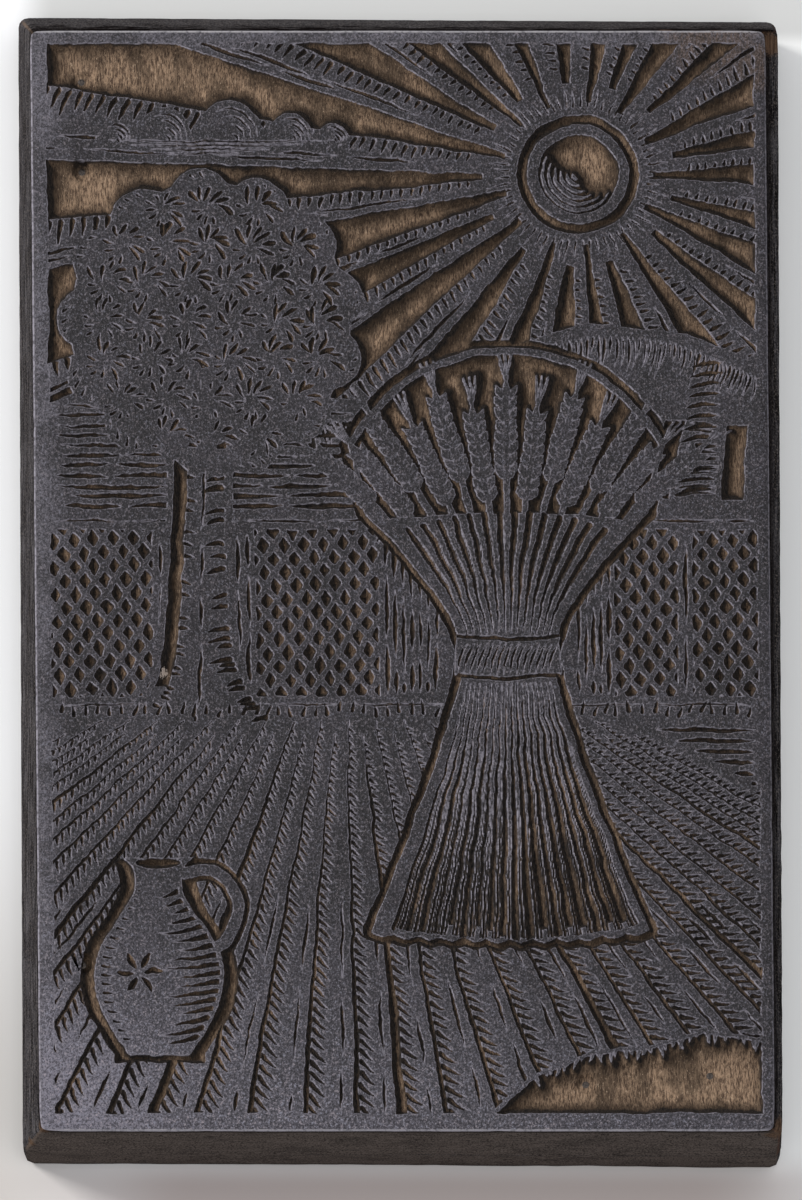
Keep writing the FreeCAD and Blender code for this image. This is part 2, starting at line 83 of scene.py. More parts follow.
# Wear along the rim of the face: its middle, how deep it is and how far it reaches
WEAR = ((FACE_LEFT, FACE_NEAR, 0.5, 2.6), (FACE_RIGHT, FACE_NEAR, 0.35, 3.0),
        (FACE_RIGHT, FACE_FAR, 0.3, 2.2), (FACE_LEFT, FACE_FAR, 0.25, 2.0),
        (-31.0, FACE_NEAR, 0.12, 0.8), (14.0, FACE_NEAR, 0.16, 0.8), (39.0, FACE_NEAR, 0.2, 0.8),
        (FACE_RIGHT, -41.0, 0.2, 0.8), (FACE_LEFT, 22.0, 0.2, 0.8), (FACE_LEFT, -55.0, 0.15, 0.8))

# Draws for the small differences between cuts that are alike
vary = np.random.RandomState(7).uniform


def placed(x, y):
    """The x of a place on the real face, which is a little askew, from its place on a square one."""
    far_share = 0.5 + y / LENGTH
    shift = FACE_SHIFT + NEAR_END_SHIFT * (1 - far_share) - FACE_TURN * far_share
    return shift + x * (1 + (FAR_WIDTH - NEAR_WIDTH) / (FACE_RIGHT - FACE_LEFT) * far_share)


def at(u, v):
    return np.array([FIELD_LEFT + u * FIELD_WIDTH / 100, FIELD_NEAR + v * FIELD_LENGTH / 100])


def places(shares):
    return np.array([at(u, v) for u, v in shares])


def turn(angle):
    return np.array([cos(angle), sin(angle)])


def smooth_noise(x, y, wave, seed, across=1.0):
    """Noise from -1 to 1 that changes over about one wave; across stretches it along y."""
    table = np.random.RandomState(seed).uniform(-1, 1, (256, 256))
    x, y = x / wave + 1000.3, y / (wave * across) + 1000.7
    ix, iy = np.floor(x).astype(int), np.floor(y).astype(int)
    fx, fy = x - ix, y - iy
    fx, fy = fx * fx * (3 - 2 * fx), fy * fy * (3 - 2 * fy)
    a, b = table[iy % 256, ix % 256], table[iy % 256, (ix + 1) % 256]
    c, d = table[(iy + 1) % 256, ix % 256], table[(iy + 1) % 256, (ix + 1) % 256]
    return (a * (1 - fx) + b * fx) * (1 - fy) + (c * (1 - fx) + d * fx) * fy


def off_segment(x, y, a, b):
    """How far along a segment, as a share, the nearest place on it lies, and the way from there."""
    d = b - a
    t = np.clip(((x - a[0]) * d[0] + (y - a[1]) * d[1]) / (float(d @ d) + 1e-9), 0, 1)
    return t, x - a[0] - t * d[0], y - a[1] - t * d[1]


class Carving:
    """The picture as a signed distance: over zero inside a cut, under zero in kept wood."""

    def __init__(self):
        self.left, self.near = FACE_LEFT + ARRIS_WIDTH, FACE_NEAR + ARRIS_WIDTH
        right, far = FACE_RIGHT - ARRIS_WIDTH, FACE_FAR - ARRIS_WIDTH
        self.xs = np.linspace(self.left, right, TOP_NX + 1)
        self.ys = np.linspace(self.near, far, TOP_NY + 1)
        self.dx, self.dy = self.xs[1] - self.xs[0], self.ys[1] - self.ys[0]
        x, y = np.meshgrid(self.xs, self.ys)
        self.px, self.py = x, y
        # The hand's tremble, so that no edge is quite straight
        self.x = x + 0.2 * smooth_noise(x, y, 3.1, 1) + 0.1 * smooth_noise(x, y, 0.9, 2)
        self.y = y + 0.2 * smooth_noise(x, y, 3.1, 3) + 0.1 * smooth_noise(x, y, 0.9, 4)
        self.s = np.full(x.shape, -5.0)
        # Where it is set, cuts are made only where this distance is over zero
        self.limit = None

    def window(self, pts, pad):
        """The part of the grid that lies round some points, or nothing."""
        corner, step = np.array([self.left, self.near]), (self.dx, self.dy)
        first = np.maximum(((pts.min(0) - pad - corner) / step).astype(int), 0)
        last = np.minimum(((pts.max(0) + pad - corner) / step).astype(int) + 2, (TOP_NX + 1, TOP_NY + 1))
        return (slice(first[1], last[1]), slice(first[0], last[0])) if (last > first).all() else None

    def line_distance(self, pts, radii, win):
        x, y = self.x[win], self.y[win]
        best = np.full(x.shape, -9.0)
        for a, b, ra, rb in zip(pts[:-1], pts[1:], radii[:-1], radii[1:]):
            t, dx, dy = off_segment(x, y, a, b)
            np.maximum(best, ra + (rb - ra) * t - np.hypot(dx, dy), out=best)
        return best

    def area_distance(self, pts, win):
        x, y = self.x[win], self.y[win]
        best = np.full(x.shape, 9e9)
        inside = np.zeros(x.shape, bool)
        for a, b in zip(pts, np.roll(pts, -1, 0)):
            t, dx, dy = off_segment(x, y, a, b)
            np.minimum(best, dx ** 2 + dy ** 2, out=best)
            if a[1] != b[1]:
                edge = (b[0] - a[0]) * (y - a[1]) / (b[1] - a[1]) + a[0]
                inside ^= ((a[1] > y) != (b[1] > y)) & (x < edge)
        away = np.sqrt(best)
        return np.where(inside, away, -away)

    def put(self, distance, win, keep=False):
        if self.limit is not None:
            distance = np.minimum(distance, self.limit[win])
        if keep:
            self.s[win] = np.minimum(self.s[win], -distance)
        else:
            self.s[win] = np.maximum(self.s[win], distance)

    def stroke(self, pts, radii, keep=False):
        pts = np.asarray(pts, float)
        win = self.window(pts, max(radii) + (KEPT_REACH if keep else CUT_REACH))
        if win:
            self.put(self.line_distance(pts, radii, win), win, keep)

    def area(self, pts, keep=False):
        pts = np.asarray(pts, float)
        win = self.window(pts, KEPT_REACH if keep else CUT_REACH)
        if win:
            self.put(self.area_distance(pts, win), win, keep)

    def mask(self, pts):
        return self.area_distance(np.asarray(pts, float), EVERYWHERE)

    def gouge(self, start, angle, length, width, bend=0.0, blunt=0.25, keep=False):
        """One cut that starts blunt and is drawn out to a point."""
        pts, radii = [], []
        p = np.asarray(start, float)
        for k in range(7):
            t = k / 6
            pts.append(p)
            body = min(1.0, (t / blunt) ** 0.6)
            radii.append(0.5 * width * max(0.05, body) * (1 - t ** 1.8) ** 0.75)
            p = p + turn(angle + bend * (t - 0.3)) * (length / 6)
        self.stroke(pts, radii, keep)

    def sliver(self, a, b, width, bend=0.0):
        """A cut pointed at both ends, bowed by bend."""
        a, b = np.asarray(a, float), np.asarray(b, float)
        side = np.array([a[1] - b[1], b[0] - a[0]])
        steps = np.linspace(0, 1, 9)
        pts = [a + (b - a) * t + side * bend * 4 * t * (1 - t) for t in steps]
        radii = [0.5 * width * sin(pi * (0.04 + 0.92 * t)) ** 0.7 for t in steps]
        self.stroke(pts, radii)


def broken_line(c, line, width, reach, gap):
    """Slivers one after another along a line of points, with a gap between each two."""
    lengths = [dist(a, b) for a, b in zip(line[:-1], line[1:])]
    ends = np.concatenate([[0], np.cumsum(lengths)])
    q = vary(0, reach[0] / 2)
    while q < ends[-1] - 1:
        stop = min(q + vary(*reach), ends[-1])
        stops = np.linspace(q, stop, 7)
        pts = np.stack([np.interp(stops, ends, np.asarray(line)[:, k]) for k in (0, 1)], 1)
        c.stroke(pts, swell(7, width * vary(0.75, 1.15)))
        q = stop + vary(*gap)


def curve(points, n=8):
    """Points along a smooth open curve through the given ones."""
    p = np.asarray(points, float)
    p = np.vstack([2 * p[0] - p[1], p, 2 * p[-1] - p[-2]])
    out = []
    for a, b, c, d in zip(p[:-3], p[1:-2], p[2:-1], p[3:]):
        for t in np.linspace(0, 1, n, endpoint=False):
            out.append(0.5 * (2 * b + (c - a) * t + (2 * a - 5 * b + 4 * c - d) * t * t
                              + (3 * b - a - 3 * c + d) * t ** 3))
    return np.array(out + [p[-2]])


def swell(n, width):
    """Radii that swell to the middle and are drawn out at both ends."""
    return [0.5 * width * sin(pi * (0.05 + 0.9 * t)) for t in np.linspace(0, 1, n)]


HILLS = ((0.1, 66.0), (12, 69.0), (30, 67.5), (46, 66.0), (60, 70.0), (76, 73.5), (90, 72.5), (99.9, 70.0))


def cut_sky(c):
    """Rays cleared from the sun to the hills and the border, and the sun's rings."""
    top = 100 - EDGE_SHARE
    c.limit = c.mask(np.vstack([places(HILLS), places([(top, top), (EDGE_SHARE, top)])]))
    sun, count, reach = at(75, 87.5), 26, 130
    rays = [(2 * pi * (k + 0.15 * sin(5 * k)) / count, pi / count * (0.62 + 0.12 * sin(3.7 * k)))
            for k in range(count + 1)]
    for k, (angle, half) in enumerate(rays[:-1]):
        start = 11.5 + 3.2 * (k % 2)
        c.area([sun + start * turn(angle - half * 0.55), sun + reach * turn(angle - half),
                sun + reach * turn(angle + half), sun + start * turn(angle + half * 0.55)])
    rings = [np.array([sun + r * turn(a) for a in np.linspace(0, 2 * pi, 60, endpoint=False)])
             for r in (9.6, 7.9, 6.3)]
    c.area(rings[0])
    c.area(rings[1], keep=True)
    c.area(rings[2])
    for k in range(6):
        steps = np.linspace(deg(150 + 6 * k), deg(330 - 14 * k), 16)
        c.stroke([sun + (5.6 - 0.95 * k) * turn(a) for a in steps], swell(16, 0.56), keep=True)
    # Short cuts between the rays' heads, round the sun
    for k in range(64):
        angle = 2 * pi * (k + 0.5) / 64
        c.gouge(sun + 10.5 * turn(angle), angle + vary(-0.1, 0.1), vary(2.0, 4.2), 0.44, blunt=0.15)
    # The kept rays are hatched: lines outward along them, and a comb of short cuts down one edge
    for (a, cleared_a), (b, cleared_b) in zip(rays[:-1], rays[1:]):
        a, b = a + cleared_a, b - cleared_b
        for j in range(2):
            line = [sun + r * turn(a + (b - a) * (0.68 + 0.17 * j)) for r in (24 + 12 * j, 60, 125)]
            broken_line(c, line, 0.75, (7, 18), (1.2, 3.0))
        r = 17.0
        while r < 120:
            length = min(0.62 * r * (b - a), 1.4 + 0.045 * r) * vary(0.75, 1.1) + 0.3
            width = min(1.05, 0.5 + 0.009 * r)
            c.gouge(sun + r * turn(a) - 0.3 * turn(a + pi / 2), a + 1.3, length, width, 0.3, 0.1)
            r += width + vary(0.55, 0.95)


def cut_cloud(c):
    base = at(7, 90.4)
    bumps, end = [], base[0]
    for share in (2.7, 4.2, 5.1, 3.5, 2.4):
        r = share * FIELD_WIDTH / 100
        bumps.append((end + r, r))
        end += 2 * r
    width = end - base[0]

    def arc(x, r, angles):
        return [(x + r * cos(t), base[1] + 1.25 * r * sin(t)) for t in angles]
    outline = [p for x, r in bumps for p in arc(x, r, np.linspace(pi * 0.97, pi * 0.03, 11))]
    outline += [(end - width * t, base[1] - 2.0 * sin(pi * t)) for t in np.linspace(0.02, 0.98, 16)]
    c.area(outline, keep=True)
    for x, r in bumps:
        for k in range(4):
            c.stroke(arc(x, r * (0.82 - 0.19 * k), np.linspace(0.2, 2.0 - 0.25 * k, 9)), swell(9, 0.5))
    for k in range(4):
        y = base[1] + 0.6 - 0.7 * k
        c.sliver((base[0] + width * (0.05 + 0.08 * k), y), (base[0] + width * (0.95 - 0.13 * k), y - 0.1),
                 0.4, -0.008)


def cut_hills(c):
    top = places([(u, v - 0.8) for u, v in HILLS])
    c.limit = c.mask(np.vstack([top, places([(99.9, 56), (0.1, 56)])]))
    ridge = curve(places([(36, 65.0), (46, 65.2), (60, 69.2), (76, 72.7), (90, 71.7), (101, 68.6)]), 18)
    for k, p in enumerate(ridge[:-2]):
        slant = -70 - 36 * k / len(ridge) + vary(-4, 4)
        c.gouge(p - (0, 0.7), deg(slant), vary(3.0, 6.4), vary(0.42, 0.68), -0.5)
    # Fields on the slope, each cut its own way
    fields = [((73.5, 57.0), (76.9, 57.0), (80.5, 64.0), (77.5, 64.0)),
              ((84.0, 57.0), (87.4, 57.0), (89.8, 64.4), (86.8, 64.4)),
              ((94.5, 57.0), (97.9, 57.0), (98.6, 64.0), (95.6, 64.0))]
    for field in fields:
        c.area(places(field))
    for left, right in zip(fields[:-1], fields[1:]):
        a, b = places([left[1], left[2]])
        p, q = places([right[0], right[3]])
        for j in range(11):
            t = (j + 0.5) / 11
            c.sliver(a + (b - a) * t + (0.7, 0), p + (q - p) * t + (-0.7, 0.4), 0.5, 0.02)
    for k in range(16):
        u = 50.5 + 1.45 * k
        c.sliver(at(u, 57.0 + 0.1 * k), at(u + 1.9, 64.5 + 0.16 * k), 0.5, 0.03)
    for k in range(13):
        v = 57.4 + 1.0 * k
        c.sliver(at(88.0 + 0.24 * k, v), at(94.0 + 0.1 * k, v + 0.5), 0.85, 0.05)
    # Level cuts across the meadow on the left
    for k in range(11):
        v, u = 56.4 + 0.94 * k, 0.4 + vary(0, 3)
        while u < 49:
            width = vary(7, 16)
            c.sliver(at(u, v), at(min(u + width, 50), v + vary(-0.1, 0.1)), 1.05 - 0.04 * k,
                     vary(-0.014, 0.014))
            u += width + vary(0.4, 1.2)


def cut_crown(c):
    middle, across, up = at(23, 73.5), 20.5, 21.5
    outline = []
    for k in range(13):
        angle = 2 * pi * k / 13 + 0.2
        centre = middle + (across * cos(angle), up * sin(angle)) - 1.75 * turn(angle)
        outline += [centre + 5.0 * turn(angle + t) for t in np.linspace(-1.1, 1.1, 9)]
    c.area(outline, keep=True)
    c.limit = c.mask(outline) - 0.55
    rows = 7
    for row in range(rows):
        rise = 1 - 2 * (row + 0.5) / rows
        half = across * sqrt(1 - rise * rise)
        clumps = round(2 * half / 7.0)
        for i in range(clumps):
            root = middle + (half * (2 * (i + 0.5) / clumps - 1), up * rise) + vary(-0.35, 0.35, 2)
            lit = np.clip(0.5 + ((root - middle) @ (0.6, 0.5)) / 32, 0, 1)
            tip = vary(-24, 24)
            for k in range(6):
                angle = -38 + 31 * k + tip + vary(-6, 6)
                r = 3.9 + vary(-0.7, 0.3)
                c.gouge(root + r * turn(deg(angle)), deg(angle + 166 + vary(-9, 9)),
                        2.3 + 1.2 * lit + vary(-0.7, 0.5), (0.7 + 0.45 * lit) * vary(0.75, 1.2),
                        vary(0.1, 0.8), vary(0.2, 0.45))
            for k in range(4):
                angle = 172 + 33 * k + tip
                r = vary(2.7, 3.4)
                c.gouge(root + r * turn(deg(angle)), deg(angle + 172), vary(1.3, 2.3), 0.66, 0.5, 0.25)
    # Short combs round the rim, longer where it is in shade
    for k in range(84):
        angle = deg(360 * k / 84)
        in_shade = 0.5 - 0.5 * cos(angle - deg(38))
        p = middle + ((across + 3.1) * cos(angle), (up + 3.0) * sin(angle))
        c.gouge(p, angle + pi + 0.5, vary(1.0, 1.6) + 1.3 * in_shade, 0.62, 0.5, 0.2)


FENCE_LOW, FENCE_HIGH = 38.6, 54.2
PANELS = ((0.2, 14.6), (29.0, 46.5), (79.5, 88.6), (90.6, 99.8))


def cut_fence(c):
    origin, pitch, half_bar, rounding = at(0, 0), 2.5, 0.38, 0.3
    for left, right in PANELS:
        region = places([(left, FENCE_LOW), (right, FENCE_LOW), (right, FENCE_HIGH), (left, FENCE_HIGH)])
        win = c.window(region, CUT_REACH)
        distance = c.area_distance(region, win)
        uneven = 0.12 * smooth_noise(c.px[win], c.py[win], 1.7, 51)
        bars = []
        for angle in (57, -52):
            n = turn(deg(angle + 90))
            q = ((c.x[win] - origin[0]) * n[0] + (c.y[win] - origin[1]) * n[1]) / pitch
            bars.append(np.abs(q - np.round(q)) * pitch - half_bar + uneven)
        # Each cell's corners are rounded, as one turn of the gouge leaves them
        first, second = bars
        corner = rounding - np.hypot(rounding - first, rounding - second)
        cell = np.where((first < rounding) & (second < rounding), corner, np.minimum(first, second))
        c.put(np.minimum(distance, cell), win)
    for v, width in ((FENCE_HIGH + 0.75, 0.5), (FENCE_LOW - 0.75, 0.42)):
        u = 0.9
        while u < 99:
            reach = vary(9, 17)
            c.sliver(at(u, v), at(min(u + reach, 99.1), v), width, 0.004)
            u += reach + vary(0.5, 1.0)
    # Grain down the posts and boards between the panels
    for a, b, count in ((15.0, 17.4, 2), (25.9, 28.7, 2), (46.9, 55.0, 7), (74.0, 79.2, 5), (88.8, 90.4, 1)):
        for k in range(count):
            u = a + (b - a) * (k + 0.5) / count
            broken_line(c, [at(u, FENCE_HIGH - 0.2), at(u + 0.1, 46), at(u, FENCE_LOW + 0.3)], 0.85, (5, 13),
                        (0.7, 1.8))


def cut_trunk(c):
    left = curve(places([(19.8, 62), (19.2, 54), (18.2, 45), (16.6, 39.5), (12.5, 36.4)]))
    right = curve(places([(25.4, 62), (25.0, 54), (25.6, 45), (27.2, 40), (31.5, 36.2)]))
    c.area(np.vstack([left - (3.1, 0), right[::-1] + (0.9, 0)]), keep=True)
    strip = left[:-8]
    c.area(np.vstack([strip - (2.2, 0), strip[::-1]]))
    for k in range(23):
        p = right[int((k + 0.5) / 23 * (len(right) - 1))]
        c.gouge(p - (0.1, vary(-0.1, 0.1)), deg(190 + vary(-5, 5)), vary(2.8, 4.6),
                1.1, 0.35, 0.12)
    broken_line(c, left + (right - left) * 0.42, 0.7, (5, 12), (0.9, 2.4))
    for k in range(20):
        p = left[int((k + 0.5) / 22 * (len(left) - 1))]
        c.gouge(p - (0.1, 0), deg(-12 + vary(-6, 6)), vary(1.1, 2.1), 0.8, -0.3, 0.12)
    # Boughs under the leaves
    for a, b, w in (((21, 60), (10, 66.5), 1.1), ((24, 60), (35.5, 66.5), 1.2), ((22.5, 61), (22, 69), 1.0)):
        p, q = places([a, b])
        c.stroke([p, 0.5 * (p + q) - (0, 0.6), q], [w * 1.4, w, 0.5], keep=True)


def cut_ground(c):
    """Furrows that run out from one point beyond the fence, each with a comb of short cuts."""
    top = 36.6
    field = c.mask(places([(0.1, top), (99.9, top), (99.9, 0.1), (0.1, 0.1)]))
    ditch = places([(62, 0.1), (99.9, 0.1), (99.9, 6.6), (92, 7.6), (84, 6.0), (76, 5.6), (68, 3.4)])
    c.limit = np.minimum(field, -c.mask(ditch) - 0.5)
    vanish, furrows = at(42, 50), 39
    depth = vanish[1] - FIELD_NEAR
    band = at(0, top)[1] - FIELD_NEAR
    for k in range(furrows):
        run = 300 * ((k + 0.5) / furrows - 0.5)
        along = np.array([run, -depth])
        start = vanish + along * ((depth - band + 0.45 + 2.25 * ((k + 1) % 2)) / depth)
        end = vanish + along
        side = np.array([depth, run]) / hypot(depth, run)
        wide = 1.9 if (k * 2) % 5 == 0 else 1.0
        pts, radii = [], []
        for t in np.linspace(0, 1, 15):
            pts.append(start + (end - start) * t + side * 0.8 * sin(2.4 * t + 1.3 * k) * t)
            radii.append(0.15 + (wide - 0.3) * t / 2)
        c.stroke(pts, radii)
        line = [p + side * 2.4 * (p[1] - vanish[1]) / depth for p in pts[6:]]
        broken_line(c, line, 0.7, (6, 14), (1.5, 5.0))
        whole, q = sum(dist(a, b) for a, b in zip(pts[:-1], pts[1:])), 1.2
        while q < whole:
            t = q / whole * 14
            i = min(13, int(t))
            p = pts[i] + (pts[i + 1] - pts[i]) * (t - i)
            near = np.clip(1 - (p[1] - FIELD_NEAR) / band, 0, 1)
            size = 0.9 + 3.2 * near ** 0.8 + vary(-0.3, 0.4)
            c.gouge(p + side * radii[i] * 0.6, atan2(side[1], side[0]) - 0.75, size,
                    0.5 + 0.5 * near, 0.5, 0.1)
            q += 1.05 + 0.8 * near
    for k in range(7):
        v = 35.5 - 0.98 * k
        c.sliver(at(45.5 + 2.75 * (50 - v), v), at(99.2, v - 0.1), 0.95, 0.01)
    c.limit = None
    for k in range(58):
        c.gouge(at(1.5 + 97 * k / 57, 36.9) + (0, vary(-0.4, 0.3)), deg(82 + vary(-20, 20)),
                vary(1.6, 2.7), 0.75, vary(-0.5, 0.5), 0.12)
    # The ditch, with blades of grass hanging in from its upper edge
    c.area(ditch)
    edge = curve(ditch[2:][::-1], 12)
    for k in range(34):
        p = edge[int((k + 0.6) / 34 * (len(edge) - 1))]
        c.gouge(p + (0, 0.25), deg(-88 + vary(-22, 22)), vary(0.7, 2.2), 0.5,
                vary(-0.4, 0.4), 0.06, keep=True)


JUG_HALF, JUG_HEIGHT = 9.9, 31.0
JUG = ((0.46, 0), (0.55, 0.04), (0.87, 0.21), (1, 0.39), (0.89, 0.56), (0.53, 0.73), (0.37, 0.84),
       (0.40, 0.95), (0.53, 1))
JUG_HANDLE = ((0.40, 0.92), (0.91, 0.93), (1.23, 0.79), (1.11, 0.61), (0.87, 0.54))


def cut_jug(c):
    foot = at(15, 5.5)
    side = curve(np.array(JUG) * (JUG_HALF, JUG_HEIGHT), 5)
    def outline(grow):
        half = side + (grow, 0)
        return foot + np.vstack([half, (half * (-1, 1))[::-1]])
    around = outline(2.4)
    around[[0, -1], 1] -= 1.2
    handle = curve(foot + np.array(JUG_HANDLE) * (JUG_HALF, JUG_HEIGHT))
    c.area(around)
    c.stroke(handle, [1.8] * len(handle))
    c.area(outline(0), keep=True)
    c.stroke(handle, [0.85] * len(handle), keep=True)
    c.limit = c.mask(outline(-0.45))
    for k in range(17):
        y = 2.2 + k * 1.45
        half = float(np.interp(y, side[:, 1], side[:, 0]))
        reach = 0.62 + 0.14 * sin(k * 1.7)
        xs = [half * (0.93 - t * reach * 1.25) for t in np.linspace(0, 1, 9)]
        arc = [foot + (x, y - 1.3 * (1 - (x / half) ** 2) + 0.8) for x in xs]
        c.stroke(arc, [0.46 * (1 - t ** 1.5) + 0.03 for t in np.linspace(0, 1, 9)])
        c.gouge(foot + (-half * 0.93, y + 0.4), deg(-8), 0.26 * half, 0.6, 0.2, 0.15)
    c.limit = None
    c.area([foot + (3.6 * cos(a), 30.2 + 0.9 * sin(a)) for a in np.linspace(0, 6.1, 24)])
    for k in range(6):
        angle = deg(60 + 60 * k)
        p = foot + (-3.0, 13.0)
        c.sliver(p + 0.8 * turn(angle), p + 3.6 * turn(angle), 1.1, 0.06)


WAIST = at(64.5, 42.5)
WAIST_HALF, SPREAD, HEAD_RISE, FOOT_DROP, EAR_LENGTH = 6.0, 13.5, 27.0, 46.0, 15.5


def stalk(side, t):
    """A stalk's line over the waist: side is -1 to 1, and t 0 at the waist and 1 at the ears."""
    return WAIST + (WAIST_HALF * side + SPREAD * side * t ** 1.5, HEAD_RISE * (t - 0.13 * side * side * t))


def leg(side, t):
    return WAIST + (WAIST_HALF * side + SPREAD * side * t ** 1.25, -FOOT_DROP * (t - 0.043 * side * side * t))


def head_point(angle, inset):
    return WAIST + ((27.5 - inset) * sin(angle), 20 + (29.0 - inset) * cos(angle))


def cut_sheaf(c):
    right = [leg(1.1, 1 - i / 12) for i in range(12)] + [stalk(1.12, i / 12) for i in range(13)]
    head = [head_point(deg(62 - 124 * i / 30), 0) for i in range(31)]
    left = [np.array([2 * WAIST[0] - p[0], p[1]]) for p in right[::-1]]
    base = leg(1.1, 1)
    half = base[0] - WAIST[0]
    foot = []
    for i in range(1, 24):
        share = 2 * i / 24 - 1
        foot.append((WAIST[0] + half * share, base[1] - 0.62 * (2 * (1 - share * share) + i % 2)))
    outline = np.array(right + head + left + foot)
    ring = np.vstack([outline, outline[:1]])
    c.stroke(ring, [1.4] * len(ring))
    c.area(outline, keep=True)
    inside = c.mask(outline)
    # The head is cleared, and the ears stand in it
    crown = [head_point(deg(66 - 132 * i / 30), 1.0) for i in range(31)]
    low = [stalk(1.05 * share / 6, 0.83 + 0.1 * (share / 6) ** 2) for share in range(-6, 7)]
    c.limit = inside - 0.55
    c.area(crown + low)
    c.limit = None
    for k in range(13):
        side = k / 6 - 1
        slant = deg(90 - 47 * side)
        d = turn(slant)
        foot = stalk(side, 0.9) + d * (EAR_LENGTH * 0.23 if k % 2 == 0 else 0)
        length = EAR_LENGTH * (1 - 0.1 * abs(side))
        c.stroke([stalk(side, 0.72), foot, foot + d * length * 0.9], [0.45, 0.45, 0.4], keep=True)
        for j in range(8):
            q = foot + d * (0.6 + j * (length - 2.2) / 7.4)
            size = 1.0 - 0.3 * abs(j / 7 - 0.35)
            for sign in (-1, 1):
                m = q + turn(slant + sign * 1.4) * 0.62
                tip = turn(slant + sign * 0.5)
                c.stroke([m, m + tip * 0.9, m + tip * 1.9], [0.42 * size, 0.66 * size, 0.12], keep=True)
        tip = foot + d * length
        c.stroke([tip - d * 1.6, tip + d * 0.6], [0.6, 0.12], keep=True)
        for sign in (-1, 0, 1):
            c.stroke([tip, tip + turn(slant + 0.19 * sign) * 5.0], [0.2, 0.13], keep=True)
    c.limit = np.where(inside > 0, 1.0, -9.0)
    c.put(0.55 - inside, EVERYWHERE, keep=True)
    # Grooves between the stalks, wider where the light falls
    c.limit = inside
    steps = np.linspace(0, 1, 10)
    for k in range(14):
        side = (2 * k + 1) / 14 - 1
        c.stroke([stalk(side, 0.13 + 0.7 * t) for t in steps],
                 [0.14 + (0.36 + 0.12 * (k > 6)) * t for t in steps])
        for part in (-0.25, 0.25):
            start = vary(0.3, 0.5)
            c.stroke([stalk(side + part / 7, start + (0.78 - start) * t) for t in steps], swell(10, 0.3))
    for k in range(18):
        side = (2 * k + 1) / 18 - 1
        end = vary(0.92, 1.0)
        wide = 0.26 + 0.3 * (side > 0) + 0.1 * ((k * 7) % 3)
        c.stroke([leg(side, 0.1 + (end - 0.1) * t) for t in steps], [0.12 + wide * t ** 0.9 for t in steps])
        for part in (0.5, 1.0, 1.5):
            start = vary(0.3, 0.6)
            c.stroke([leg(side + part / 18, start + (0.97 - start) * t) for t in steps],
                     [0.08 + (0.24 if part == 1 else 0.15) * t for t in steps])
    # The band
    c.limit = None
    c.area([WAIST + p for p in ((-8.2, -3.0), (8.2, -3.0), (7.8, 3.2), (-7.8, 3.2))], keep=True)
    for y in (-3.1, 3.1):
        c.stroke([WAIST + (-7.6, y), WAIST + (0, y - 0.75), WAIST + (7.6, y)], [0.34, 0.4, 0.34])
    for k in range(15):
        x = -7.0 + k
        c.sliver(WAIST + (x - 0.8, -2.5 - 0.5 * (1 - (x / 8) ** 2)), WAIST + (x + 0.8, 1.8), 0.5, 0.06)


def carve():
    c = Carving()
    for cut in (cut_sky, cut_cloud, cut_hills, cut_crown, cut_fence, cut_trunk, cut_ground, cut_jug,
                cut_sheaf):
        c.limit = None
        cut(c)
    # Nothing is cut in the plain border
    edges = places([(EDGE_SHARE, EDGE_SHARE), (100 - EDGE_SHARE, 100 - EDGE_SHARE)])
    field = np.minimum(np.minimum(c.x - edges[0][0], edges[1][0] - c.x),
                       np.minimum(c.y - edges[0][1], edges[1][1] - c.y))
    c.s = np.minimum(c.s, field)
    return c


def depth_of(s, x, y):
    """How far under the face the wood is cut, from the distance to the nearest kept edge."""
    s = np.maximum(s, 0)
    depth = LINE_DEPTH * (1 - np.exp(-1.45 * s / LINE_DEPTH)) + GROUND_DEPTH * (1 - np.exp(-s / 1.9))
    # The gouge leaves long shallow troughs, mostly with the grain
    trough = 0.10 * smooth_noise(x, y, 1.5, 21, 5.0) + 0.06 * smooth_noise(x, y, 0.7, 22, 4.0)
    depth = depth + trough * np.clip(s / 1.4, 0, 1) ** 2
    for u, v in BRAD_SHARES:
        place = at(u, v)
        near = np.clip((1.7 - np.hypot(x - place[0], y - place[1])) / 0.85, 0, 1)
        near = near * near * (3 - 2 * near)
        depth = np.where(s > 0, depth + (TYPE_HEIGHT - BRAD_TOP + 0.06 - depth) * near, depth)
    return np.minimum(depth, DEEPEST)


def mesh_object(name, vertices, faces):
    """An object in metres from points in millimetres and faces: one face's corners, or a row for each."""
    mesh = bpy.data.meshes.new(name)
    faces = [np.atleast_2d(f).astype(np.int32) for f in faces]
    loops = np.concatenate([f.ravel() for f in faces])
    totals = np.concatenate([np.full(len(f), f.shape[1], np.int32) for f in faces])
    mesh.vertices.add(len(vertices))
    mesh.vertices.foreach_set("co", (np.asarray(vertices, np.float32) * MM).ravel())
    mesh.loops.add(len(loops))
    mesh.loops.foreach_set("vertex_index", loops)
    mesh.polygons.add(len(totals))
    mesh.polygons.foreach_set("loop_start", np.concatenate([[0], np.cumsum(totals)[:-1]]).astype(np.int32))
    mesh.polygons.foreach_set("loop_total", totals)
    mesh.update(calc_edges=True)
    mesh.validate()
    made = bpy.data.objects.new(name, mesh)
    bpy.context.scene.collection.objects.link(made)
    return made


def shade(made, angle):
    mesh = made.data
    mesh.polygons.foreach_set("use_smooth", np.ones(len(mesh.polygons), bool))
    mesh.set_sharp_from_angle(angle=deg(angle))


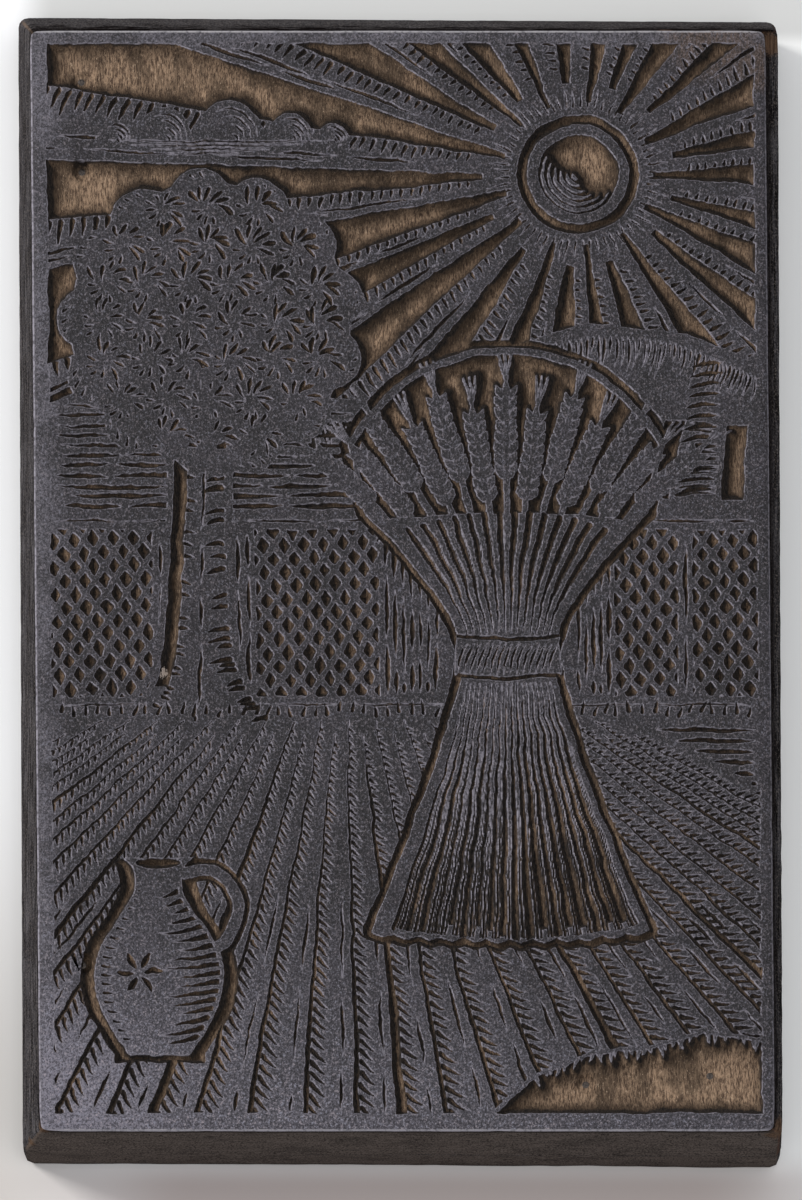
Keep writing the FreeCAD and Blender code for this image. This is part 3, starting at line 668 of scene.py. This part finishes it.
def corner_quad(inset, z):
    """The block's four lower corners, each side moved in by inset."""
    near, far = inset - LENGTH / 2, LENGTH / 2 - inset
    near_half, far_half = NEAR_WIDTH / 2 - inset, FAR_WIDTH / 2 - inset
    return np.array([(NEAR_END_SHIFT - near_half, near + END_FALL, z), (NEAR_END_SHIFT + near_half, near, z),
                     (far_half, far - END_FALL, z), (-far_half, far, z)])


def face_quad(inset, z):
    left, right, near, far = FACE_LEFT + inset, FACE_RIGHT - inset, FACE_NEAR + inset, FACE_FAR - inset
    corners = ((left, near), (right, near), (right, far), (left, far))
    return np.array([(placed(x, y), y, z) for x, y in corners])


def side_quad(z):
    """The plank's corners between face and board: three sides slope evenly, the right one only at the top."""
    face, base = face_quad(0, TYPE_HEIGHT - ARRIS_DROP), corner_quad(0.02, BOARD_TOP)
    t = (face[0, 2] - z) / (face[0, 2] - BOARD_TOP)
    quad = face * (1 - t) + base * t
    t = min(1, (face[0, 2] - z) / (SHOULDER_DROP - ARRIS_DROP))
    quad[1:3, 0] = face[1:3, 0] * (1 - t) + base[1:3, 0] * t
    return quad


def ring_at(quad, radius, a, b, n):
    """A rounded outline through the corners: a and b place each point's centre, and n points outward."""
    middle = quad.mean(0)
    inner = quad.copy()
    inner[:, :2] -= np.sign(quad[:, :2] - middle[:2]) * radius
    p = ((1 - a) * (1 - b))[:, None] * inner[0] + (a * (1 - b))[:, None] * inner[1]
    p = p + (a * b)[:, None] * inner[2] + ((1 - a) * b)[:, None] * inner[3]
    p[:, :2] += n * radius
    return p


def ring_faces(first, second):
    """Faces between two rings of vertex numbers, the second one lower. A ring of one is a point."""
    if len(first) == 1:
        return np.stack([np.repeat(first, len(second)), second, np.roll(second, -1)], 1)
    if len(second) == 1:
        return np.stack([np.roll(first, -1), first, np.repeat(second, len(first))], 1)
    return np.stack([first, second, np.roll(second, -1), np.roll(first, -1)], 1)


def stack_rings(rings, vertices, faces, last=None):
    """Adds rings one under another, with faces between them and one under the lowest."""
    count = sum(map(len, vertices))
    for ring in rings:
        numbers = np.arange(count, count + len(ring))
        vertices.append(ring)
        faces.append(numbers if last is None else ring_faces(last, numbers))
        last, count = numbers, count + len(ring)
    faces.append(last[::-1])


def around(grid):
    """The outer entries of a grid, in order round it."""
    return np.concatenate([grid[0, :-1], grid[:-1, -1], grid[-1, :0:-1], grid[:0:-1, 0]])


def build_plank(c):
    depth = depth_of(c.s, c.px, c.py)
    x, y, s = c.px.copy(), c.py.copy(), c.s
    # Points next to the edge of a cut move onto it, so that edges run smooth
    gy, gx = np.gradient(s, c.dy, c.dx)
    steep = gx * gx + gy * gy
    near_edge = (np.abs(s) < 0.5 * STEP) & (steep > 0.25)
    move = np.where(near_edge, s / np.maximum(steep, 0.25), 0)
    x -= np.clip(move * gx, -0.5 * STEP, 0.5 * STEP)
    y -= np.clip(move * gy, -0.5 * STEP, 0.5 * STEP)
    depth[near_edge] = 0
    # Cells with nothing in them are merged
    def spread(values, kind):
        return kind(kind(values[:-1, :-1], values[1:, :-1]), kind(values[:-1, 1:], values[1:, 1:]))
    plain_top = spread(s, np.maximum) < -RIM_REACH
    slope = spread(depth, np.maximum) - spread(depth, np.minimum)
    plain_floor = (spread(s, np.minimum) > 1.1) & (slope < 0.05)
    free = np.ones(plain_top.shape, bool)
    used = np.zeros(x.shape, bool)
    merged = []
    for size in BLOCKS:
        for plain, most in ((plain_top, 8), (plain_floor, 2)):
            if size > most:
                continue
            cells = (plain & free).reshape(TOP_NY // size, size, TOP_NX // size, size).all((1, 3))
            for j, i in np.argwhere(cells) * size:
                merged.append((j, i, size))
                free[j:j + size, i:i + size] = False
                used[j:j + size + 1:size, i:i + size + 1:size] = True
    for j, i in ((0, 0), (1, 0), (0, 1), (1, 1)):
        used[j:j + TOP_NY, i:i + TOP_NX] |= free
    # The rim keeps every second point, for the wear along it
    used[0, ::2] = used[-1, ::2] = used[::2, 0] = used[::2, -1] = True
    number = np.arange(x.size).reshape(x.shape)
    quads = np.stack([number[:-1, :-1][free], number[:-1, 1:][free], number[1:, 1:][free],
                      number[1:, :-1][free]], 1)
    polygons = []
    for j, i, size in merged:
        loop = around(number[j:j + size + 1, i:i + size + 1])
        polygons.append(loop[used.flat[loop]])
    # Corners of the face are rounded off
    radius = FACE_CORNER_RADIUS - ARRIS_WIDTH
    left, right, near, far = c.xs[0], c.xs[-1], c.ys[0], c.ys[-1]
    for cx, sx in ((left + radius, -1), (right - radius, 1)):
        for cy, sy in ((near + radius, -1), (far - radius, 1)):
            u, v = (x - cx) * sx / radius, (y - cy) * sy / radius
            here = (u > 0) & (v > 0)
            reach = np.maximum(u, v) / np.maximum(np.hypot(u, v), 1e-9)
            x = np.where(here, cx + sx * radius * u * reach, x)
            y = np.where(here, cy + sy * radius * v * reach, y)
    z = TYPE_HEIGHT - depth
    # The rim, all the way round, with what places each of its points
    rim = around(number)
    rim = rim[used.flat[rim]]
    rx, ry = c.px.ravel()[rim], c.py.ravel()[rim]
    a = np.clip((rx - left - radius) / (right - left - 2 * radius), 0, 1)
    b = np.clip((ry - near - radius) / (far - near - 2 * radius), 0, 1)
    n = np.stack([x.ravel()[rim] - (left + radius + a * (right - left - 2 * radius)),
                  y.ravel()[rim] - (near + radius + b * (far - near - 2 * radius))], 1)
    n /= np.linalg.norm(n, axis=1)[:, None]
    wear = worn(rx, ry)
    vertices = [np.stack([placed(x.ravel(), y.ravel()), y.ravel(), z.ravel()], 1)]
    vertices[0][rim, :2] -= n * wear[:, None]
    vertices[0][rim, 2] -= 0.25 * wear
    levels = [(face_quad(inset, TYPE_HEIGHT - drop), FACE_CORNER_RADIUS - inset, weight)
              for inset, drop, weight in ((0.16, 0.09, 0.9), (0.06, 0.2, 0.7), (0, ARRIS_DROP, 0.5))]
    for height in (22.5, 21.9, 21.35, 21.0, 20.5, 19.4, 17.8, 16.0, 14.2, 12.4, 11.2, BOARD_TOP):
        t = (TYPE_HEIGHT - ARRIS_DROP - height) / (TYPE_HEIGHT - ARRIS_DROP - BOARD_TOP)
        radius_here = FACE_CORNER_RADIUS * (1 - t) + CORNER_RADIUS * t
        levels.append((side_quad(height), radius_here, 0.35 * (1 - t)))
    rings = []
    for quad, radius_here, weight in levels:
        ring = ring_at(quad, radius_here, a, b, n)
        rough = 0.05 * (1 + smooth_noise(rx + ry, ring[:, 2] * 3, 2.3, 31)) * (weight < 0.5)
        ring[:, :2] -= n * (wear * weight + rough)[:, None]
        rings.append(ring)
    faces = [quads, *polygons]
    stack_rings(rings, vertices, faces, rim)
    vertices = np.concatenate(vertices)
    keep = np.zeros(len(vertices), bool)
    for f in faces:
        keep[f] = True
    renumber = np.cumsum(keep) - 1
    made = mesh_object("carved_face", vertices[keep], [renumber[f] for f in faces])
    cut = np.full(len(keep), -0.05)
    cut[:s.size] = np.clip(s.ravel(), -RIM_REACH, 3.0)
    made.data.attributes.new("cut", "FLOAT", "POINT").data.foreach_set("value", cut[keep].astype(np.float32))
    sides = np.zeros(len(made.data.polygons), np.int32)
    sides[len(quads) + len(polygons) + ARRIS_RINGS * len(rim):] = 1
    return made, sides, (a, b, n, rx, ry)


def worn(x, y):
    """How far wear has moved the rim in, at places along it."""
    wear = 0.05 + 0.05 * smooth_noise(x, y, 5.0, 41) + 0.035 * smooth_noise(x, y, 1.3, 42)
    for px, py, size, reach in WEAR:
        wear = wear + size * np.exp(-((x - px) ** 2 + (y - py) ** 2) / reach ** 2)
    return np.maximum(wear, 0)


def build_board(outline):
    a, b, n, rx, ry = (part[::2] for part in outline)
    levels = [(0.02, z) for z in (BOARD_TOP, 10.2, 9.6, 8.2, 6.4, 4.6, 2.8, 1.7)]
    for k in range(5):
        angle = pi / 2 * k / 4
        levels.append((0.02 + FOOT_ROUNDING * (1 - cos(angle)),
                       CARD_TOP + FOOT_ROUNDING * (1 - sin(angle))))
    rings = []
    for inset, z in levels:
        ring = ring_at(corner_quad(inset, z), CORNER_RADIUS, a, b, n)
        low_down = np.clip((3.0 - z) / 2.4, 0, 1)
        dent = 0.04 * (1 + smooth_noise(rx + ry, ring[:, 2] * 3, 2.6, 33))
        dent += 0.12 * low_down * (1 + smooth_noise(rx, ry, 6.0, 34))
        ring[:, :2] -= n * dent[:, None]
        rings.append(ring)
    faces = []
    stack_rings(rings, [], faces)
    return mesh_object("board", np.concatenate(rings), faces)


def build_brads():
    """Six brads turned from one profile, each head a little dented and set at its own tilt."""
    profile = [(0.0, 0.0), (0.28, -0.005), (0.52, -0.03), (0.66, -0.08), (0.74, -0.17), (0.745, -0.36),
               (0.70, -0.45), (0.54, -0.47), (0.54, -14.3), (0.16, -15.95), (0.0, -15.98)]
    turns = 28
    vertices, faces, count = [], [], 0
    for k, (u, v) in enumerate(BRAD_SHARES):
        place = at(u, v)
        place[0] = placed(*place)
        rings = []
        for r, z in profile:
            angles = np.linspace(0, 2 * pi, turns if r else 1, endpoint=False)
            reach = max(r - 0.01, 0) + 0.008 * np.sin(3 * angles + k) * (r > 0.6)
            tilt = 0.02 * np.cos(angles - k) * min(r, 0.7) * (z > -0.3)
            vertices.append(np.stack([place[0] + reach * np.cos(angles), place[1] + reach * np.sin(angles),
                                      BRAD_TOP + z - 0.02 + tilt], 1))
            rings.append(np.arange(count, count + len(angles)))
            count += len(angles)
        faces += [ring_faces(first, second) for first, second in zip(rings[:-1], rings[1:])]
    return mesh_object("brads", np.concatenate(vertices), faces)


# Materials


def linear(*colour):
    """A colour of 0 to 255 as a render takes it."""
    shares = [v / 255 for v in colour]
    return tuple(v / 12.92 if v <= 0.04045 else ((v + 0.055) / 1.055) ** 2.4 for v in shares) + (1,)


def grey(value):
    return value, value, value, 1


class Surface:
    """A material under construction. Places and lengths in it are in millimetres."""

    def __init__(self, name):
        self.material = bpy.data.materials.new(name)
        self.material.use_nodes = True
        self.tree = self.material.node_tree
        self.shader = self.tree.nodes["Principled BSDF"]
        self.place = self.vector("MULTIPLY", self.node("ShaderNodeTexCoord").outputs["Object"], [1 / MM] * 3)
        self.x, self.y, self.z = self.node("ShaderNodeSeparateXYZ", {0: self.place}).outputs

    def node(self, kind, inputs=(), **settings):
        made = self.tree.nodes.new(kind)
        for key, value in settings.items():
            setattr(made, key, value)
        for key, value in dict(inputs).items():
            self.feed(made.inputs[key], value)
        return made

    def feed(self, socket, value):
        if isinstance(value, bpy.types.NodeSocket):
            self.tree.links.new(value, socket)
        else:
            socket.default_value = value

    def vector(self, operation, a, b, output="Vector"):
        return self.node("ShaderNodeVectorMath", {0: a, 1: b}, operation=operation).outputs[output]

    def math(self, operation, a, b=0.0):
        return self.node("ShaderNodeMath", {0: a, 1: b}, operation=operation).outputs[0]

    def plus(self, a, b):
        return self.math("ADD", a, b)

    def minus(self, a, b):
        return self.math("SUBTRACT", a, b)

    def times(self, a, b):
        return self.math("MULTIPLY", a, b)

    def most(self, a, b):
        return self.math("MAXIMUM", a, b)

    def magnitude(self, value):
        return self.math("ABSOLUTE", value)

    def sway(self, noise, reach):
        """Noise of 0 to 1 moved to lie about zero, over a reach."""
        return self.times(self.minus(noise, 0.5), reach)

    def span(self, value, start, end, top=1.0, base=0.0):
        """Base where the value is at start, smoothly up to top where it is at end."""
        return self.node("ShaderNodeMapRange", {0: value, 1: start, 2: end, 3: base, 4: top},
                         interpolation_type="SMOOTHSTEP").outputs[0]

    def noise(self, waves, detail=3.0, rough=0.55):
        """Noise from 0 to 1, with its waves along x, y and z."""
        scaled = self.vector("MULTIPLY", self.place, [1 / wave for wave in waves])
        return self.node("ShaderNodeTexNoise", {"Vector": scaled, "Scale": 1.0, "Detail": detail,
                                                "Roughness": rough}).outputs["Fac"]

    def mix(self, share, a, b):
        return self.node("ShaderNodeMix", {0: share, 6: a, 7: b}, data_type="RGBA").outputs[2]

    def tones(self, value, start, end, first, second):
        """One tone of 0 to 255 up to start, another from end on."""
        return self.mix(self.span(value, start, end), linear(*first), linear(*second))

    def coats(self, colour, *layers):
        """The colour under layers, each given as its share and its tone of 0 to 255."""
        for share, *tone in layers:
            colour = self.mix(share, colour, linear(*tone))
        return colour

    def facing(self):
        """The x and the y of the way that the surface faces."""
        normal = self.node("ShaderNodeNewGeometry").outputs["Normal"]
        return self.node("ShaderNodeSeparateXYZ", {0: normal}).outputs[:2]

    def spot(self, x, y, z, radius):
        """1 at a place, falling to 0 at the radius."""
        return self.span(self.vector("DISTANCE", self.place, (x, y, z), "Value"), radius, 0.0)

    def bump(self, height, reach, normal=None):
        """Bumps whose height of 0 to 1 stands for a reach."""
        inputs = {"Height": height, "Distance": reach * MM, "Strength": 1.0}
        if normal:
            inputs["Normal"] = normal
        return self.node("ShaderNodeBump", inputs).outputs[0]

    def finish(self, colour, roughness, normal=None, specular=0.5):
        inputs = self.shader.inputs
        self.feed(inputs["Base Color"], colour)
        self.feed(inputs["Roughness"], roughness)
        if normal:
            self.feed(inputs["Normal"], normal)
        inputs["Specular IOR Level"].default_value = specular
        return self.material


def inked_face():
    """Slate-coloured ink with a fine grain and painted sheen, a painted highlight along the edge of each cut,
    and brown wood in the hollows with painted shade near the walls.
    """
    m = Surface("inked_face")
    cut = m.node("ShaderNodeAttribute", attribute_name="cut").outputs["Fac"]
    face_x, face_y = m.facing()
    streaks = m.noise((0.22, 1.4, 1.0), 3.0, 0.65)
    cloud = m.noise((9.0, 14.0, 11.0), 4.0, 0.7)
    grit = m.noise((0.3, 0.35, 0.3), 2.0, 0.85)
    hue = m.noise((0.8, 0.8, 0.8), 2.0, 0.6)
    fibre = m.noise((0.22, 1.3, 0.6), 4.0, 0.7)
    blotch = m.noise((4.6, 10.0, 5.0), 2.0, 0.6)
    speck = m.noise((0.2, 0.75, 0.3), 2.0, 0.8)
    # The ink is greyer towards the near end, most of all at its left corner: this is painted sheen.
    # It is paler on the left and far borders. At the far right corner it is worn brown.
    near_end_sheen = m.span(m.plus(m.y, m.times(m.x, 0.25)), -50, -104)
    # Paler on the left and far borders
    paler_borders = m.most(m.span(m.x, -50, -55), m.span(m.y, 81, 85))
    brown = m.most(m.spot(49.0, 85.0, TYPE_HEIGHT, 12.0), m.spot(56.5, 80.0, TYPE_HEIGHT, 7.0))
    # Painted sheen at the near left corner
    corner = m.spot(-53.0, -87.0, TYPE_HEIGHT, 30.0)
    ink = m.coats(m.tones(streaks, 0.34, 0.66, (37, 35, 37), (55, 52, 55)),
                  (m.span(cloud, 0.42, 0.62, 0.6), 62, 59, 64),
                  (m.times(near_end_sheen, 0.7), 96, 93, 101),
                  (m.times(paler_borders, m.span(cloud, 0.35, 0.6, 0.7, 0.15)), 97, 94, 101),
                  (m.times(m.span(brown, 0.1, 0.7), m.span(streaks, 0.35, 0.6, 0.85, 0.2)), 84, 69, 60),
                  (m.span(corner, 0.0, 1.0, 0.5), 132, 128, 140),
                  (m.span(grit, 0.52, 0.39, 0.66), 16, 15, 16))
    # Pale flecks of painted glint, strongest where the painted sheen of the near end lies
    sparkle = m.times(m.span(grit, 0.54, 0.67), m.span(near_end_sheen, 0.0, 1.0, 1.0, 0.44))
    ink = m.mix(sparkle, ink, m.tones(hue, 0.42, 0.58, (130, 129, 141), (142, 133, 138)))
    # The near and far arrises are worn to a thin bright line that carries painted sheen. Each cut's edge
    # has a paler painted highlight. Ink that faces left is darker, so the left arris line is fainter.
    ends = m.most(m.span(m.y, -88.95, -89.2), m.span(m.y, 85.2, 85.45))
    # Painted highlight along the edge of each cut
    edge = m.span(cut, -0.14, 0.0, 0.85)
    ink = m.coats(ink, (m.times(ends, m.span(hue, 0.32, 0.55, 0.9, 0.25)), 170, 166, 168),
                  (m.times(edge, m.span(hue, 0.36, 0.56, 1.0, 0.2)), 118, 114, 122),
                  (m.span(face_x, -0.12, -0.45, 0.8), 52, 49, 52))
    # Ink runs down the walls and greys the floor for a way out from them. Walls that face away from the
    # light, to the right and the far end, get painted shade further down, and the floor near them more
    # painted shade.
    # How far a surface faces right and towards the far end, away from the light; it sets the painted shade
    # below and the painted highlight on arrises
    turned = m.plus(face_x, m.times(face_y, 0.6))
    reach = m.plus(cut, m.sway(cloud, 2.4))
    bared_with_shade = m.minus(reach, m.times(m.most(turned, -0.25), 0.9))
    ink_and_shade = m.minus(reach, m.times(turned, 1.2))
    # Floor wood, darkened near the walls by ink and by painted shade
    floor = m.coats(m.tones(fibre, 0.36, 0.62, (74, 57, 45), (157, 131, 107)),
                    (m.span(blotch, 0.4, 0.64, 0.72), 60, 48, 37),
                    (m.span(speck, 0.46, 0.34, 0.6), 30, 23, 18),
                    (m.span(speck, 0.6, 0.7, 0.8), 178, 154, 130),
                    (m.span(ink_and_shade, 0.4, 2.9, 0.0, 0.76), 36, 27, 20))
    wall = m.tones(speck, 0.4, 0.62, (14, 12, 12), (44, 37, 32))
    coated = m.span(cut, 0.01, 0.09, 0.0, 1.0)
    colour = m.mix(coated, m.mix(m.span(bared_with_shade, 0.15, 0.75), wall, floor), ink)
    # Arrises that face the light catch it in a thin line, and a pale chip lies at the tree's foot
    caught = m.times(m.span(turned, -0.2, -0.6), m.span(cut, 0.17, 0.04, 0.7))
    spot = m.spot(-36.3, -17.0, 22.3, 1.7)
    chip = m.times(m.span(m.plus(spot, m.sway(speck, 2.6)), 0.55, 0.75), m.span(spot, 0.0, 0.2))
    colour = m.coats(colour, (m.times(caught, m.span(hue, 0.36, 0.56, 1.0, 0.3)), 158, 153, 163),
                     (m.times(chip, 0.85), 196, 180, 168))
    rough = m.mix(coated, grey(0.7), m.mix(grit, grey(0.62), grey(0.34)))
    normal = m.bump(m.plus(grit, m.times(streaks, 0.5)), 0.14)
    normal = m.bump(m.times(m.plus(fibre, speck), m.span(cut, 0.0, 0.8)), 0.16, normal)
    return m.finish(colour, rough, normal, 0.18)


def stained_and_shaded_side(name, worn_at=()):
    """Stained wood with painted light and shade by the way it faces: grey to the left, nearly black to the
    right and the far end, worn brown in spots.
    """
    m = Surface(name)
    face_x, face_y = m.facing()
    along = m.noise((0.4, 7.0, 0.4), 4.0, 0.65)
    across = m.noise((5.0, 0.4, 0.4), 3.0, 0.6)
    specks = m.noise((0.3, 0.3, 0.3), 2.0, 0.7)
    cloud = m.noise((7.0, 9.0, 5.0), 3.0, 0.6)
    # Painted light and shade: lit and shaded copies of the stain for the near end, the far end, the left and
    # the right, darkest where it faces right
    near = m.tones(across, 0.3, 0.7, (74, 67, 63), (92, 83, 78))
    far = m.tones(along, 0.38, 0.62, (48, 46, 47), (84, 81, 82))
    left = m.tones(along, 0.42, 0.6, (34, 32, 33), (87, 84, 86))
    right = m.tones(along, 0.42, 0.6, (20, 19, 19), (68, 66, 68))
    colour = m.mix(m.span(m.magnitude(face_y), 0.5, 0.8), m.mix(m.span(face_x, -0.3, 0.3), left, right),
                   m.mix(m.span(face_y, 0.3, 0.7), near, far))
    # Under the far arris lies a ragged black band
    ragged = m.span(m.plus(m.z, m.sway(across, 24)), 18.6, 19.6, 0.95)
    # Cloudy patches, dark and pale specks, darker towards the bottom, and a dark band just under the arris
    colour = m.coats(colour, (m.span(cloud, 0.45, 0.7, 0.4), 38, 35, 34),
                     (m.span(specks, 0.48, 0.36, 0.8), 18, 16, 16),
                     (m.span(specks, 0.54, 0.68, 0.7), 106, 98, 93),
                     (m.span(m.z, 0.0, 4.0, 0.0, 0.4), 28, 25, 24),
                     (m.span(m.z, 21.7, 22.6, 0.75), 18, 15, 15),
                     (m.times(m.span(face_y, 0.3, 0.6), ragged), 14, 10, 10))
    # Corners are worn bare; the bare wood is painted paler where it faces left and darker where it faces
    # right, as painted light and shade
    corner = m.math("MINIMUM", m.magnitude(face_x), m.magnitude(face_y))
    bare_lit_and_shaded = m.tones(face_x, -0.3, 0.3, (112, 96, 84), (70, 50, 42))
    colour = m.mix(m.times(m.span(corner, 0.42, 0.62), m.span(cloud, 0.35, 0.6, 0.75, 0.2)), colour, bare_lit_and_shaded)
    worn_share = 0.0
    for place in worn_at:
        worn_share = m.most(worn_share, m.spot(*place))
    if worn_at:
        patchy = m.plus(m.plus(worn_share, m.sway(cloud, 1.4)), m.sway(specks, 0.8))
        brown = m.tones(along, 0.3, 0.7, (58, 43, 35), (108, 84, 64))
        colour = m.mix(m.span(patchy, 0.45, 0.85, 0.7), colour, brown)
    return m.finish(colour, 0.9, m.bump(m.plus(along, m.times(specks, 0.6)), 0.08), 0.0)


def brad_metal():
    m = Surface("brad_steel")
    grain = m.noise((0.3, 0.3, 0.3), 3.0, 0.6)
    m.shader.inputs["Metallic"].default_value = 0.8
    return m.finish(m.tones(grain, 0.35, 0.7, (46, 42, 41), (92, 84, 78)), m.span(grain, 0.3, 0.7, 0.6, 0.38),
                    m.bump(grain, 0.03))


def card_stock():
    m = Surface("underlay_card")
    fibre = m.noise((0.7, 0.35, 0.08), 3.0, 0.6)
    cloud = m.noise((16.0, 22.0, 8.0), 3.0, 0.6)
    colour = m.coats(m.tones(fibre, 0.3, 0.7, (140, 124, 98), (172, 154, 124)),
                     (m.span(cloud, 0.4, 0.7, 0.6), 110, 98, 82))
    return m.finish(colour, 0.85, m.bump(fibre, 0.02), 0.2)


def floor_paper():
    """The pale ground, with painted shadows and painted light close round the block that fade to one plain
    tone further off.
    """
    m = Surface("pale_ground")
    # Painted shadows: at the near left, beyond the far end, and a warm dark one ahead of the near end that is
    # strongest in the middle. Close round the block the ground is paler, painted light against its cast
    # shadow.
    low_left_shadow = m.times(m.span(m.y, -20, -84), m.span(m.x, -40, -66))
    beyond = m.times(m.span(m.y, 88, 92), m.span(m.x, -62, -54))
    middle = m.span(m.magnitude(m.minus(m.x, 7)), 72, 38)
    near_shadow = m.times(m.span(m.y, -87, -94), m.plus(m.times(middle, 0.5), 0.12))
    # Further off, past the painted light and shadows, the ground is one plain tone
    aside = m.most(m.span(m.magnitude(m.x), 63.5, 90), m.span(m.magnitude(m.y), 96.5, 124))
    colour = m.coats(m.tones(m.x, -70, 70, (250, 250, 250), (252, 252, 250)),
                     (low_left_shadow, 206, 202, 197), (beyond, 208, 208, 206), (near_shadow, 140, 110, 99),
                     (aside, 212, 212, 211))
    return m.finish(colour, 0.9, None, 0.1)


# The pieces

carving = carve()
plank, sides, outline = build_plank(carving)
worn_spots = ((-55.6, -89.3, 22.6, 3.4), (-57.4, -90.2, 15.0, 3.2), (58.6, -88.6, 20.4, 4.6),
              (58.0, 83.5, 21.8, 4.4), (50.0, 86.0, 22.6, 3.0), (42.0, 86.0, 22.6, 2.6))
for material in (inked_face(), stained_and_shaded_side("plank_side", worn_spots)):
    plank.data.materials.append(material)
plank.data.polygons.foreach_set("material_index", sides)
shade(plank, 42)
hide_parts("carved_plank")

board = build_board(outline)
board.data.materials.append(stained_and_shaded_side("board_side"))
shade(board, 35)
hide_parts("mount_board")

brads = build_brads()
brads.data.materials.append(brad_metal())
shade(brads, 40)
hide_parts("plank_brads")

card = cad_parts["underlay_card"]
card.data.materials.clear()
card.data.materials.append(card_stock())

for piece in (plank, board, brads):
    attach(piece, "root")

# The stage: floor, world, lamps and camera

FLOOR_HALF = 4000
floor_corners = np.array([(-1, -1, 0), (1, -1, 0), (1, 1, 0), (-1, 1, 0)]) * FLOOR_HALF
floor = mesh_object("floor", floor_corners, [(0, 1, 2, 3)])
floor.data.materials.append(floor_paper())

world = bpy.data.worlds.new("room")
world.use_nodes = True
bpy.context.scene.world = world
background = world.node_tree.nodes["Background"].inputs
background["Color"].default_value = (0.93, 0.95, 1.0, 1.0)
background["Strength"].default_value = 0.56


def area_lamp(name, place, size, power, colour=(1, 1, 1)):
    data = bpy.data.lights.new(name, "AREA")
    data.shape = "RECTANGLE"
    data.size, data.size_y = size
    data.energy = power
    data.color = colour
    lamp = bpy.data.objects.new(name, data)
    bpy.context.scene.collection.objects.link(lamp)
    lamp.location = place
    lamp.rotation_euler = (-Vector(place)).to_track_quat("-Z", "Y").to_euler()


area_lamp("key", (-1.0, 0.45, 0.8), (0.35, 0.35), 12.5, (1.0, 0.99, 0.975))
area_lamp("fill", (0.35, -0.2, 1.5), (0.9, 0.9), 6.5)

TILT = deg(12.64)
DISTANCE = 2.5
FOCAL_PIXELS, FRAME_HEIGHT, SENSOR = 15970, 1200, 36
camera = bpy.data.cameras.new("camera")
camera.lens = FOCAL_PIXELS / FRAME_HEIGHT * SENSOR
camera.sensor_width = SENSOR
camera.clip_start, camera.clip_end = 0.1, 50
view = bpy.data.objects.new("camera", camera)
bpy.context.scene.collection.objects.link(view)
back = Vector((0, -sin(TILT), cos(TILT)))
view.location = back * DISTANCE
view.rotation_euler = (-back).to_track_quat("-Z", "Y").to_euler()
camera.shift_x = 0.003
camera.shift_y = -0.0019
bpy.context.scene.camera = view
bpy.context.scene.view_settings.view_transform = "Standard"
